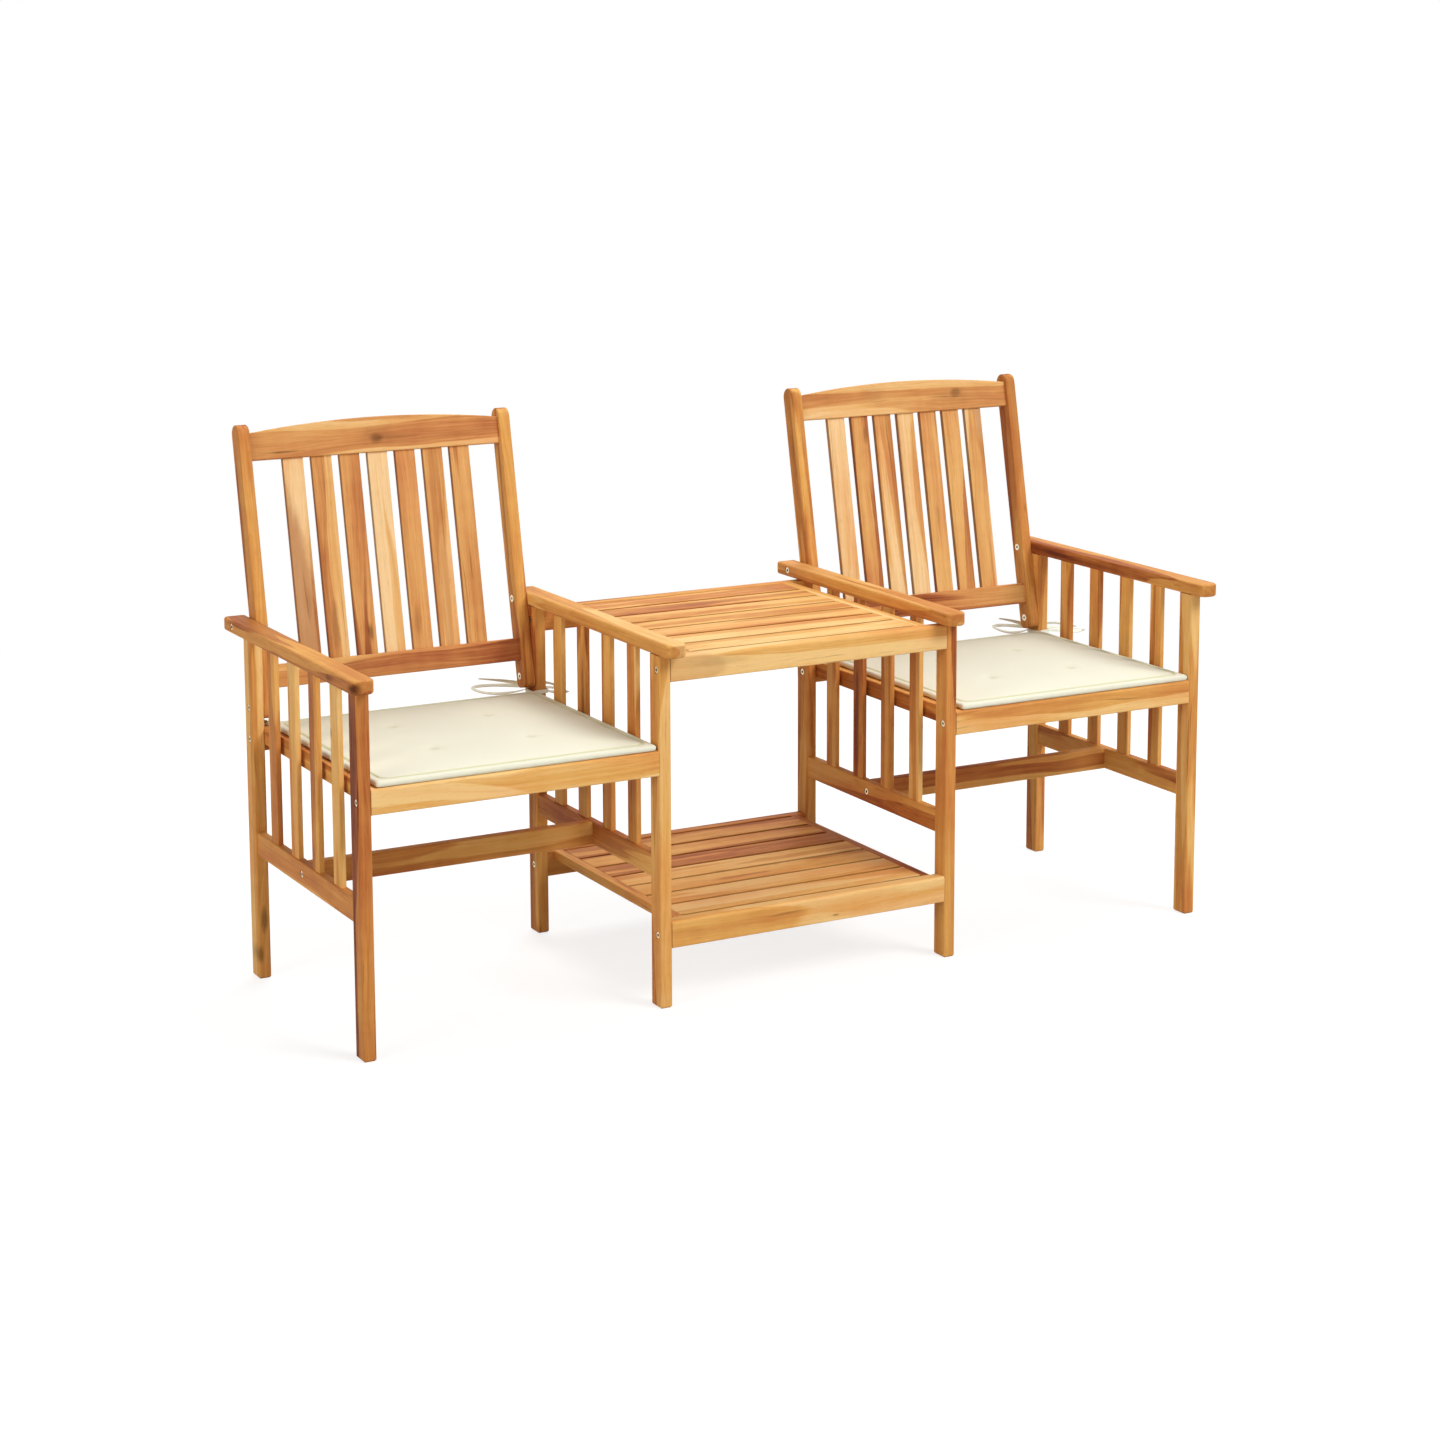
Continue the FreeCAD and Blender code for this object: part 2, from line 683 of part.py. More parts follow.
def make_nut():
    """Sleeve nut along +X: its flange rests on the plane at 0, its barrel points to -X."""
    flange = Part.makeCylinder(number("nut_flange") / 2, number("nut_flange_thick"),
                               Vector(0, 0, 0), Vector(1, 0, 0))
    hole = Part.makeCylinder(number("bolt_socket") / 2, number("bolt_socket_depth"),
                             Vector(number("nut_flange_thick") - number("bolt_socket_depth"), 0, 0),
                             Vector(1, 0, 0))
    barrel = Part.makeCylinder(number("bolt_shank") / 2, number("nut_barrel_length"),
                               Vector(-number("nut_barrel_length"), 0, 0), Vector(1, 0, 0))
    return flange.fuse(barrel).cut(hole)


def placed(shape, place, points_right):
    """Copy of a bolt or nut that points to +X or -X from a place."""
    copy = shape.copy()
    turn = UPRIGHT if points_right else Rotation(Vector(0, 0, 1), 180)
    copy.Placement = Placement(Vector(*place), turn)
    return copy


head_depth = number("bolt_recess_depth") - number("bolt_head_thick")
leg_bolt = make_bolt(number("leg_width + bolt_reach") - head_depth)
rail_bolt = make_bolt(number("rail_thick + bolt_reach") - head_depth)
stile_grip = number("stile_width - nut_barrel_length - end_play") - head_depth
stile_bolt = make_bolt(number("leg_width") + stile_grip)
arm_bolt = make_bolt(number("arm_width") + stile_grip)
nut = make_nut()
bolts = []
nuts = []
for chair in CHAIRS:
    for frame in ("outer", "inner"):
        side = frame_side(chair, frame)
        to_right = side < 0
        leg_left = number(leg_x(chair, frame))
        leg_right = leg_left + number("leg_width")
        leg_face = leg_left + head_depth if to_right else leg_right - head_depth
        rail_face = leg_face + number("rail_inset") * (1 if to_right else -1)
        arm_face = leg_face - number("arm_overhang") * (1 if to_right else -1)
        stile_face = leg_right + number("stile_width") if to_right else leg_left - number("stile_width")
        seat_z = number("seat_bolt_z")
        low_z = number("stile_bolt_height")
        rear_y = number("rear_bolt_y")
        front_y = number("front_bolt_y")
        arm_place = (number("arm_bolt_y"), number("arm_bolt_z"))
        bolts.append(placed(leg_bolt, (leg_face, front_y, seat_z), to_right))
        bolts.append(placed(leg_bolt, (leg_face, rear_y, seat_z), to_right))
        bolts.append(placed(stile_bolt, (leg_face, rear_y, low_z), to_right))
        bolts.append(placed(arm_bolt, (arm_face, *arm_place), to_right))
        bolts.append(placed(rail_bolt, (rail_face, number("bar_y"), number("bar_z")), to_right))
        nuts.append(placed(nut, (stile_face, rear_y, low_z), to_right))
        nuts.append(placed(nut, (stile_face, *arm_place), to_right))
        if frame == "inner":
            table_face = leg_right - head_depth if to_right else leg_left + head_depth
            for bolt_y in (front_y, rear_y):
                for level in ("table_bolt_z", "shelf_bolt_z"):
                    bolts.append(placed(leg_bolt, (table_face, bolt_y, number(level)), not to_right))
new_feature("frame_bolts", Part.makeCompound(bolts))
new_feature("stile_nuts", Part.makeCompound(nuts))


# Seat pads: sections lie close together round the rolled ends, and apart over the panel

PAD_END_TURNS = (20, 55, 90)
PAD_PANEL_SHARES = (1.0, 0.85, 0.65, 0.35)


def pad_section(y, low, edge, crown):
    """Closed section of a pad across X: flat below, bulged sides, flat border, crowned middle."""
    half = number("pad_width") / 2
    side = half - number("pad_side_bulge")
    inner = half - number("pad_border")
    top = low + edge
    points = [Vector(-side, y, low), Vector(side, y, low), Vector(side, y, top),
              Vector(inner, y, top), Vector(-inner, y, top), Vector(-side, y, top)]
    return Part.Wire([
        Part.LineSegment(points[0], points[1]).toShape(),
        Part.Arc(points[1], Vector(half, y, low + edge / 2), points[2]).toShape(),
        Part.LineSegment(points[2], points[3]).toShape(),
        Part.Arc(points[3], Vector(0, y, top + crown), points[4]).toShape(),
        Part.LineSegment(points[4], points[5]).toShape(),
        Part.Arc(points[5], Vector(-half, y, low + edge / 2), points[0]).toShape(),
    ])


def rounded_rectangle(half_x, half_y, corner, level):
    """Closed outline of a rectangle with round corners."""
    pieces = []
    ends = []
    for quarter, (across, along) in enumerate([(1, -1), (1, 1), (-1, 1), (-1, -1)]):
        centre = Vector(across * (half_x - corner), along * (half_y - corner), level)
        spoke = Rotation(Vector(0, 0, 1), 90 * quarter - 90).multVec(Vector(corner, 0, 0))
        bend = [centre + Rotation(Vector(0, 0, 1), turn).multVec(spoke) for turn in (0, 45, 90)]
        pieces.append(Part.Arc(*bend).toShape())
        ends.append((bend[0], bend[2]))
    for quarter in range(4):
        pieces.append(Part.LineSegment(ends[quarter][1], ends[(quarter + 1) % 4][0]).toShape())
    return Part.Wire(Part.__sortEdges__(pieces))


def make_pad():
    """Thin seat pad: a crowned panel, a sewn channel near its edge and four sewn tufts."""
    half_x = number("pad_width") / 2
    half_y = number("pad_depth") / 2
    edge = number("pad_edge")
    crown = number("pad_crown")
    roll = number("pad_side_bulge")
    panel_x = half_x - number("pad_border")
    panel_y = half_y - number("pad_border")

    def rise(reach):
        """Crown of the panel at a distance from the pad's middle."""
        return max(number("pad_least_crown"), crown * (1 - (reach / panel_y) ** 2))

    sections = {0: (0, edge, crown)}
    for sign in (-1, 1):
        for turn in PAD_END_TURNS:
            height = edge * math.sin(math.radians(turn))
            reach = half_y - roll * (math.cos(math.radians(PAD_END_TURNS[0])) - math.cos(math.radians(turn)))
            sections[sign * reach] = ((edge - height) / 2, height, rise(reach))
        for share in PAD_PANEL_SHARES:
            sections[sign * share * panel_y] = (0, edge, rise(share * panel_y))
    solid = Part.makeLoft([pad_section(y, *sections[y]) for y in sorted(sections)], True, True)
    outline = rounded_rectangle(half_x, half_y, number("pad_corner"), -crown)
    solid = solid.common(Part.Face(outline).extrude(Vector(0, 0, edge + 3 * crown)))
    radius = number("pad_channel")
    path = rounded_rectangle(panel_x, panel_y, number("pad_seam_corner"), edge + radius / 3)
    start = path.Edges[0]
    ring = Part.makeCircle(radius, start.valueAt(start.FirstParameter), start.tangentAt(start.FirstParameter))
    solid = solid.cut(path.makePipeShell([Part.Wire(ring)], True, False))
    depth = number("tuft_depth")
    ball = (number("tuft_radius") ** 2 + depth ** 2) / (2 * depth)
    for across in (-0.5, 0.5):
        for deep in (-0.5, 0.5):
            x = across * number("tuft_spacing_across")
            y = deep * number("tuft_spacing_deep")
            top = edge + rise(y) * (1 - (x / panel_x) ** 2)
            solid = solid.cut(Part.makeSphere(ball, Vector(x, y, top - depth + ball)))
    return solid


seat_pad = make_pad()
pad_centre_y = number("pad_front + pad_depth / 2")
for chair, centre in CHAIRS.items():
    item = new_feature(f"{chair}_seat_pad", seat_pad.copy())
    item.Placement = Placement(
        Vector(number(f"{centre} + {chair}_pad_shift"), pad_centre_y, number("pad_floor")), UPRIGHT)


# Ties: two tapes are sewn to each rear corner of a pad and tied in a bow behind the leg

TIE_FACETS = 6


def route(points):
    """Straight runs joined by tangent arcs, each as large as its two runs allow."""
    pieces = []
    radii = []
    start = points[0]
    for before, corner, after in zip(points, points[1:], points[2:]):
        back = (before - corner).normalize()
        ahead = (after - corner).normalize()
        half_turn = (math.pi - back.getAngle(ahead)) / 2
        setback = 0.45 * min((before - corner).Length, (after - corner).Length)
        radius = setback / math.tan(half_turn)
        middle = (back + ahead).normalize()
        centre = corner + middle * (radius / math.cos(half_turn))
        pieces.append(Part.LineSegment(start, corner + back * setback).toShape())
        pieces.append(Part.Arc(corner + back * setback, centre - middle * radius,
                               corner + ahead * setback).toShape())
        radii.append(radius)
        start = corner + ahead * setback
    pieces.append(Part.LineSegment(start, points[-1]).toShape())
    return Part.Wire(pieces), radii


def tube(points):
    """Faceted tube along a route, with its tightest radius and its volume against a straight one."""
    path, radii = route(points)
    first = path.Edges[0]
    start = first.valueAt(first.FirstParameter)
    ahead = first.tangentAt(first.FirstParameter)
    spoke = ahead.cross(Vector(0, 0, 1)).normalize() * (number("tie_thick") / 2)
    rim = [start + Rotation(ahead, 360 / TIE_FACETS * turn).multVec(spoke) for turn in range(TIE_FACETS + 1)]
    ring = Part.makePolygon(rim)
    solid = path.makePipeShell([ring], True, False)
    return solid, min(radii), path.Length, solid.Volume / (Part.Face(ring).Area * path.Length)


def tie_routes(corner, reach, spread):
    """Routes of a tie from its knot: the first number of a point runs to the chair's middle.

    corner is where the pad's corner lies, reach how far the bow goes to the chair's middle
    and spread how far it goes the other way; without spread the bow hangs behind the leg
    and its second lead goes past the stile and not round the leg.
    """
    sewn = (corner + 1.6, -49.6, 0.3)
    near = reach / 100
    far = spread / 100
    routes = {
        "lead_under_stile": [sewn, (corner + 0.6, -44.3, 0), (18, -33, 0), (17, -14, 0),
                             (11, -2.5, 0), (2, 0, 0)],
        "near_loop": [(3, 1, -2), (30 * near, 4, -5), (62 * near, 7, -4), (88 * near, 12, 2),
                      (101 * near, 20, 6), (102 * near, 31, 9), (89 * near, 38, 11),
                      (61 * near, 33, 11), (31 * near, 20, 8), (3, 3, 2.5)],
        "near_tail": [(1, 2, 4), (34 * near, 10, 11), (66 * near, 14, 17), (95 * near, 17, 21)],
    }
    if spread:
        routes["lead_round_leg"] = [
            sewn, (corner - 3.5, -44.3, 0.5), (-2, -44, 0.6), (-12, -42.5, 0.5), (-15.5, -34, 0.2),
            (-15.2, -20, 0), (-15.5, -7, 0), (-10.5, 0.5, 0), (-2, 0, 0)]
        routes["far_loop"] = [
            (-3, 1, -1), (-30 * far, 5, -3), (-62 * far, 9, -8), (-88 * far, 14, -15),
            (-100 * far, 21, -21), (-101 * far, 31, -25), (-89 * far, 38, -26),
            (-61 * far, 33, -18), (-31 * far, 20, -11), (-3, 3, -6)]
        routes["far_tail"] = [(-2, 3, 3), (-32 * far, 12, 4), (-60 * far, 17, -2), (-84 * far, 20, -12)]
    else:
        routes["lead_past_stile"] = [
            sewn, (corner + 2, -43.5, 0.8), (36, -36, 4), (36, -20, 7), (35, -6, 8), (27, 3, 7),
            (16, 5, 4), (7, 3, 2), (-1.5, 0.7, 0.4)]
        routes["far_loop"] = [
            (-2, 1, -3), (1, 5, -22), (4, 8, -44), (9, 11, -60), (15, 15, -67), (21, 21, -62),
            (22, 23, -48), (17, 18, -24), (3, 5, -3)]
        routes["far_tail"] = [(-1, 3, 3), (3, 12, 1), (8, 17, -16), (9, 18, -42)]
    return routes


def make_tie(inward, corner, reach, spread):
    """Knot, two leads from the pad, two loops and two tails; the knot is at the origin."""
    solid = Part.makeSphere(number("tie_knot") / 2, Vector(), Vector(0, 1, 0))
    tightest = []
    shares = []
    length = 0
    for points in tie_routes(corner, reach, spread).values():
        piece, radius, run, share = tube([Vector(inward * x, y, z) for x, y, z in points])
        solid = solid.fuse(piece)
        tightest.append(radius)
        shares.append(share)
        length += run
    print(f"tie: {length:.0f} mm in all, tightest radius {min(tightest):.1f} mm,",
          f"volume {min(shares):.3f} to {max(shares):.3f} of a straight tube's")
    return solid


for chair, centre in CHAIRS.items():
    for frame in ("outer", "inner"):
        side = frame_side(chair, frame)
        leg_centre = number(f"{leg_x(chair, frame)} + leg_width / 2")
        pad_corner = number(f"{centre} + {chair}_pad_shift + {side} * pad_width / 2")
        reach = number(f"{chair}_tie_reach" if side > 0 else "left_hand_tie_reach")
        spread = number(f"{chair}_tie_spread") if side > 0 else 0
        item = new_feature(f"{chair}_pad_{frame}_tie",
                           make_tie(-side, abs(leg_centre - pad_corner), reach, spread))
        item.Placement = Placement(Vector(leg_centre, number("leg_rear + tie_knot / 2 + tie_gap"),
                                          number("seat_height + tie_lift")), UPRIGHT)

# Check every piece, then write one file for each

doc.recompute()
for item in doc.Objects:
    if "Invalid" in item.State or "Error" in item.State:
        raise RuntimeError(f"{item.Name} ({item.Label}) failed: {item.State}")
os.makedirs("parts", exist_ok=True)
for item in PARTS:
    shape = item.Shape
    if shape.isNull() or not shape.isValid() or not shape.Solids:
        raise RuntimeError(f"{item.Label} has no valid solid")
    shape.exportStep(os.path.join("parts", f"{item.Label}.step"))
print(f"{len(PARTS)} parts, depth {number('total_depth'):.1f} mm")
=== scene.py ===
"""Looks of the companion seat: oiled acacia, pale steel bolts, cream pads and their ties.

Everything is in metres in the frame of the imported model: X along the bench, -Y to the
front, Z up, with the origin on the floor in the middle.
"""
import math

import bmesh
import bpy
import numpy as np
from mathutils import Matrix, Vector


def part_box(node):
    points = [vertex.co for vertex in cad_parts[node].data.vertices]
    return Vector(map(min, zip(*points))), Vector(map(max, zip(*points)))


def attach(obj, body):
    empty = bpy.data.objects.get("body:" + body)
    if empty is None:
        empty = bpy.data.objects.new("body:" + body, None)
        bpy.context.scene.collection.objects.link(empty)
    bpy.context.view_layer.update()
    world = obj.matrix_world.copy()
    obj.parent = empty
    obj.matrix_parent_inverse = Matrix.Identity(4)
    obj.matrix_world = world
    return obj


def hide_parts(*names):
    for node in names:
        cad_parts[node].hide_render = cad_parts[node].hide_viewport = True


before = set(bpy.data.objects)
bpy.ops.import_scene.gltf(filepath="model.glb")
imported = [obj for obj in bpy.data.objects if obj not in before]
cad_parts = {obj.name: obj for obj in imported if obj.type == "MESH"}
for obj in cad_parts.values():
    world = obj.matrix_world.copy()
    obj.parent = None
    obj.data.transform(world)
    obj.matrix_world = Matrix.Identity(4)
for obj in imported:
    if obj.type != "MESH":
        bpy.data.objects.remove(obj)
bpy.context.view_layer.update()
MM = 0.001


# Shader maths

class Scalar:
    """A number that varies over a surface: arithmetic on it adds Math nodes."""

    def __init__(self, finish, socket):
        self.finish = finish
        self.socket = socket

    def math(self, operation, *others, first=None):
        """Result of a Math node on this number and others, or on a first number and this one."""
        values = (self, *others) if first is None else (first, self)
        node = self.finish.node("ShaderNodeMath", {"operation": operation}, dict(enumerate(values)))
        return Scalar(self.finish, node.outputs[0])

    def __add__(self, other):
        return self.math("ADD", other)

    def __mul__(self, other):
        return self.math("MULTIPLY", other)

    def __sub__(self, other):
        return self.math("SUBTRACT", other)

    def __rsub__(self, other):
        return self.math("SUBTRACT", first=other)

    def __truediv__(self, other):
        return self.math("DIVIDE", other)

    __radd__ = __add__
    __rmul__ = __mul__

    def step(self, low, high):
        """Smooth step from 0 at low to 1 at high, which may lie below low."""
        node = self.finish.node("ShaderNodeMapRange", {"interpolation_type": "SMOOTHSTEP"},
                                {"Value": self, "From Min": low, "From Max": high})
        return Scalar(self.finish, node.outputs["Result"])

    def wave(self, length):
        """Sine wave of a length along this number."""
        return (self * (2 * math.pi / length)).math("SINE")


class Finish:
    """The nodes of a material or of the world, from an empty tree."""

    def __init__(self, owner):
        owner.use_nodes = True
        self.owner = owner
        self.tree = owner.node_tree
        self.tree.nodes.clear()

    def node(self, kind, settings=None, inputs=None):
        """Node of a kind, with its settings set before the values or links of its sockets."""
        node = self.tree.nodes.new(kind)
        for key, value in (settings or {}).items():
            if key == "stops":
                set_stops(node.color_ramp, value)
            else:
                setattr(node, key, value)
        self.feed(node, inputs or {})
        return node

    def feed(self, node, inputs):
        """Sets or links the sockets of a node."""
        for key, value in inputs.items():
            if isinstance(value, Scalar):
                value = value.socket
            if isinstance(value, bpy.types.NodeSocket):
                self.tree.links.new(value, node.inputs[key])
            else:
                node.inputs[key].default_value = value

    def scalar(self, kind, settings=None, inputs=None, output=0):
        """Number that a node gives."""
        return Scalar(self, self.node(kind, settings, inputs).outputs[output])

    def noise(self, vector, detail=2.0, roughness=0.5):
        """Smooth noise of scale 1 at a vector."""
        return self.scalar("ShaderNodeTexNoise", None,
                           {"Vector": vector, "Scale": 1.0, "Detail": detail, "Roughness": roughness})

    def noise_line(self, place, detail=2.0, roughness=0.5):
        """Smooth noise of scale 1 along a number."""
        return self.scalar("ShaderNodeTexNoise", {"noise_dimensions": "1D"},
                           {"W": place, "Scale": 1.0, "Detail": detail, "Roughness": roughness})

    def point(self, across, deep, along):
        """Vector of three numbers."""
        return self.node("ShaderNodeCombineXYZ", None, {0: across, 1: deep, 2: along}).outputs[0]

    def split(self, vector):
        """The three numbers of a vector."""
        node = self.node("ShaderNodeSeparateXYZ", None, {0: vector})
        return [Scalar(self, socket) for socket in node.outputs]

    def blend(self, share, first, second, mode="MIX"):
        """Mix of two colours."""
        node = self.node("ShaderNodeMix", {"data_type": "RGBA", "blend_type": mode},
                         {0: share, 6: first, 7: second})
        return node.outputs[2]

    def ramp(self, place, stops, interpolation="LINEAR"):
        """Colour of a ramp at a number."""
        node = self.node("ShaderNodeValToRGB", {"stops": (stops, interpolation)}, {0: place})
        return node.outputs[0]

    def object_place(self):
        """Place on the surface in the object's own frame, in metres."""
        return self.node("ShaderNodeTexCoord").outputs["Object"]

    def uv_place(self, name):
        """The two numbers of the piece's own UV map."""
        return self.split(self.node("ShaderNodeUVMap", {"uv_map": name}).outputs[0])[:2]

    def clouds(self, rates, detail=2.0, roughness=0.5):
        """Noise in the object's own frame, with so many waves a metre along each axis."""
        numbers = [number * rate for number, rate in zip(self.split(self.object_place()), rates)]
        return self.noise(self.point(*numbers), detail, roughness)

    def principled(self, inputs, height, strength, distance):
        """Principled surface with bumps of a height; ends the material."""
        bumps = self.node("ShaderNodeBump", None,
                          {"Height": height, "Strength": strength, "Distance": distance})
        inputs["Normal"] = bumps.outputs[0]
        shader = self.node("ShaderNodeBsdfPrincipled", None, inputs)
        self.node("ShaderNodeOutputMaterial", None, {"Surface": shader.outputs[0]})
        return self.owner


def set_stops(ramp, setting):
    """Places the colours of a ramp."""
    stops, interpolation = setting
    ramp.interpolation = interpolation
    while len(ramp.elements) < len(stops):
        ramp.elements.new(0.5)
    for element, (position, colour) in zip(ramp.elements, stops):
        element.position = position
        element.color = colour


def paint(red, green, blue):
    """Colour from screen values of 0 to 255."""
    values = np.array([red, green, blue]) / 255
    linear = np.where(values > 0.04045, ((values + 0.055) / 1.055) ** 2.4, values / 12.92)
    return (*linear.tolist(), 1.0)


# Oiled acacia

HONEY = paint(240, 200, 136)
GOLD = paint(226, 170, 94)
AMBER = paint(204, 137, 72)
RUSSET = paint(164, 93, 48)
UMBER = paint(104, 50, 24)
KNOT = paint(66, 30, 16)
# Colours of a board from tone 0 to tone 1
TONES = [(0.0, HONEY), (0.3, GOLD), (0.55, AMBER), (0.8, RUSSET), (1.0, UMBER)]
# What the colour is multiplied by in reddish patches, and on the slats and rails of the backs
SALMON = (1.0, 0.80, 0.86, 1.0)
ROSY = (1.0, 1.05, 1.34, 1.0)
RAKE = math.radians(11.5)
ALONG_X = "x"
ALONG_Y = "y"
ALONG_Z = "z"
ALONG_BACK = "back"

# Each pattern's waves a metre across and along the grain, how many times the board's own
# shift moves it across, deep and along, its detail and roughness, and where it steps up
STRAIGHT_GRAIN = {
    "wander": (8.0, 2.2, (1, 0, 2), 2.0, 0.5, None),
    "ripple": (70.0, 22.0, (0, 1, 0), 3.0, 0.6, None),
    "shimmer": (20.0, 34.0, (0, 0, 1), 1.0, 0.5, None),
    "fibres": (900.0, 16.0, (0, 0, 1), 2.0, 0.6, None),
    "pores": (1500.0, 60.0, (0, 0, 1), 2.0, 0.5, (0.62, 0.72)),
}
BENT_GRAIN = {
    "patches": (16.0, 3.2, (1, 0, 1), 2.0, 0.5, None),
    "streaks": (62.0, 2.8, (0, 1, 1), 4.0, 0.6, None),
    "fine": (340.0, 9.0, (0, 0, 1), 3.0, 0.6, None),
    "heart": (27.0, 1.5, (2, 0, 0), 1.0, 0.5, (0.50, 0.53)),
    "dark_lines": (210.0, 5.0, (1, 0, 0), 2.0, 0.5, (0.66, 0.76)),
}
# How much each pattern darkens or lightens a board round its tone
FIGURE = {
    "patches": 0.50,
    "streaks": 0.50,
    "fine": 0.36,
    "growth": 0.20,
    "heart": 0.28,
    "shimmer": 0.12,
    "fibres": 0.18,
}
# Ranges of a board's own shift and of its pith line's place, and the shift from board to board
BOARD_SHIFTS = (2.0, 9.0)
PITH_ASIDE = (-0.05, 0.05)
PITH_DEEP = (0.02, 0.07)
ROW_SHIFT = 3.7
WANDER_WIDTH = 0.05
RIPPLE_WIDTH = 0.003
GROWTH_RATE = 150.0
GROWTH_SHIFT = 5.0
END_RING_RATE = 420.0
# Shares of the colours that are laid over the figure, and the numbers between which they set in
SALMON_PATCHES = (0.46, 0.68)
SALMON_SHARE = 0.45
DARK_LINE_SHARE = 0.45
PORE_SHARE = 0.25
# Painted shade on the narrow faces of slats in a row, which look into the gaps: where it sets in and its
# share
GAP_SHADE_SIDES = (0.80, 0.98)
GAP_SHADE_SHARE = 0.55
CUT_ENDS = (0.7, 0.95)
END_SHARE = 0.25
END_RING_SHARE = 0.35
# Shares of a mark's radii where its full shade ends and where it has faded out
STAIN_CORE = 0.86
KNOT_CORE = 0.25
MARK_EDGE = 1.1
MARK_RAGS = 1.4
# Strength and depth of the bumps
WOOD_RELIEF = (0.35, 0.3 * MM)


def board_axes(wood, vector, along):
    """Across, thick and along numbers of a vector for a board's direction."""
    turn = RAKE if along == ALONG_BACK else 0.0
    turned = wood.node("ShaderNodeMapping", {"vector_type": "POINT"},
                       {"Vector": vector, "Rotation": (turn, 0.0, 0.0)}).outputs[0]
    x, y, z = wood.split(turned)
    if along == ALONG_X:
        return z, y, x
    if along == ALONG_Y:
        return x, z, y
    return x, y, z


def grain_patterns(wood, patterns, place, shift):
    """Noises of the named patterns at a place's across, thick and along numbers."""
    noises = {}
    for name, (across, along, moves, detail, roughness, edge) in patterns.items():
        numbers = []
        for number, rate, times in zip(place, (across, across, along), moves):
            number = number * rate
            numbers.append(number + shift * times if times else number)
        noise = wood.noise(wood.point(*numbers), detail, roughness)
        noises[name] = noise.step(*edge) if edge else noise
    return noises


def board_grain(wood, place, shift, chance):
    """All patterns of a board's grain by name, from its across, thick and along numbers.

    The bent ones wander slowly to the side. Growth and end rings are noise along the
    distance from a pith line beside the board.
    """
    across, thick, length = place
    grain = grain_patterns(wood, STRAIGHT_GRAIN, place, shift)
    wide = across + (grain["wander"] - 0.5) * WANDER_WIDTH + (grain["ripple"] - 0.5) * RIPPLE_WIDTH
    grain.update(grain_patterns(wood, BENT_GRAIN, (wide, thick, length), shift))
    out_across = wide - chance.uniform(*PITH_ASIDE)
    out_thick = thick - chance.uniform(*PITH_DEEP)
    radius = (out_across * out_across + out_thick * out_thick).math("SQRT")
    grain["growth"] = wood.noise_line(radius * GROWTH_RATE + shift * GROWTH_SHIFT, 3.0, 0.6)
    grain["end_rings"] = wood.noise_line(radius * END_RING_RATE + shift, 2.0, 0.6)
    return grain


def mark_shade(wood, place, ripple, marks, core):
    """How much of their colour a board's own marks lay on it.

    Each mark is an ellipsoid: the place's distance from its centre over its three radii,
    made ragged by a ripple, fades its strength out from the core's share of them outwards.
    """
    shade = 0.0
    for centre, radii, strength in marks:
        offset = wood.node("ShaderNodeVectorMath", {"operation": "SUBTRACT"}, {0: place, 1: centre})
        scaled = wood.node("ShaderNodeVectorMath", {"operation": "DIVIDE"},
                           {0: offset.outputs[0], 1: radii})
        away = wood.scalar("ShaderNodeVectorMath", {"operation": "LENGTH"},
                           {0: scaled.outputs[0]}, "Value")
        ragged = away + (ripple - 0.5) * (1 - core) * MARK_RAGS
        shade = ragged.step(MARK_EDGE, core) * strength + shade
    return shade


def row_tone(wood, place, row):
    """Number of the board in its row at a place, and that board's tone."""
    axis, start, pitch, tones = row
    index = ((wood.split(place)["xyz".index(axis)] - start) / pitch).math("FLOOR")
    stops = [(number / len(tones), (value, value, value, 1.0)) for number, value in enumerate(tones)]
    colour = wood.ramp((index + 0.5) / len(tones), stops, "CONSTANT")
    return index, wood.scalar("ShaderNodeSeparateColor", None, {0: colour})


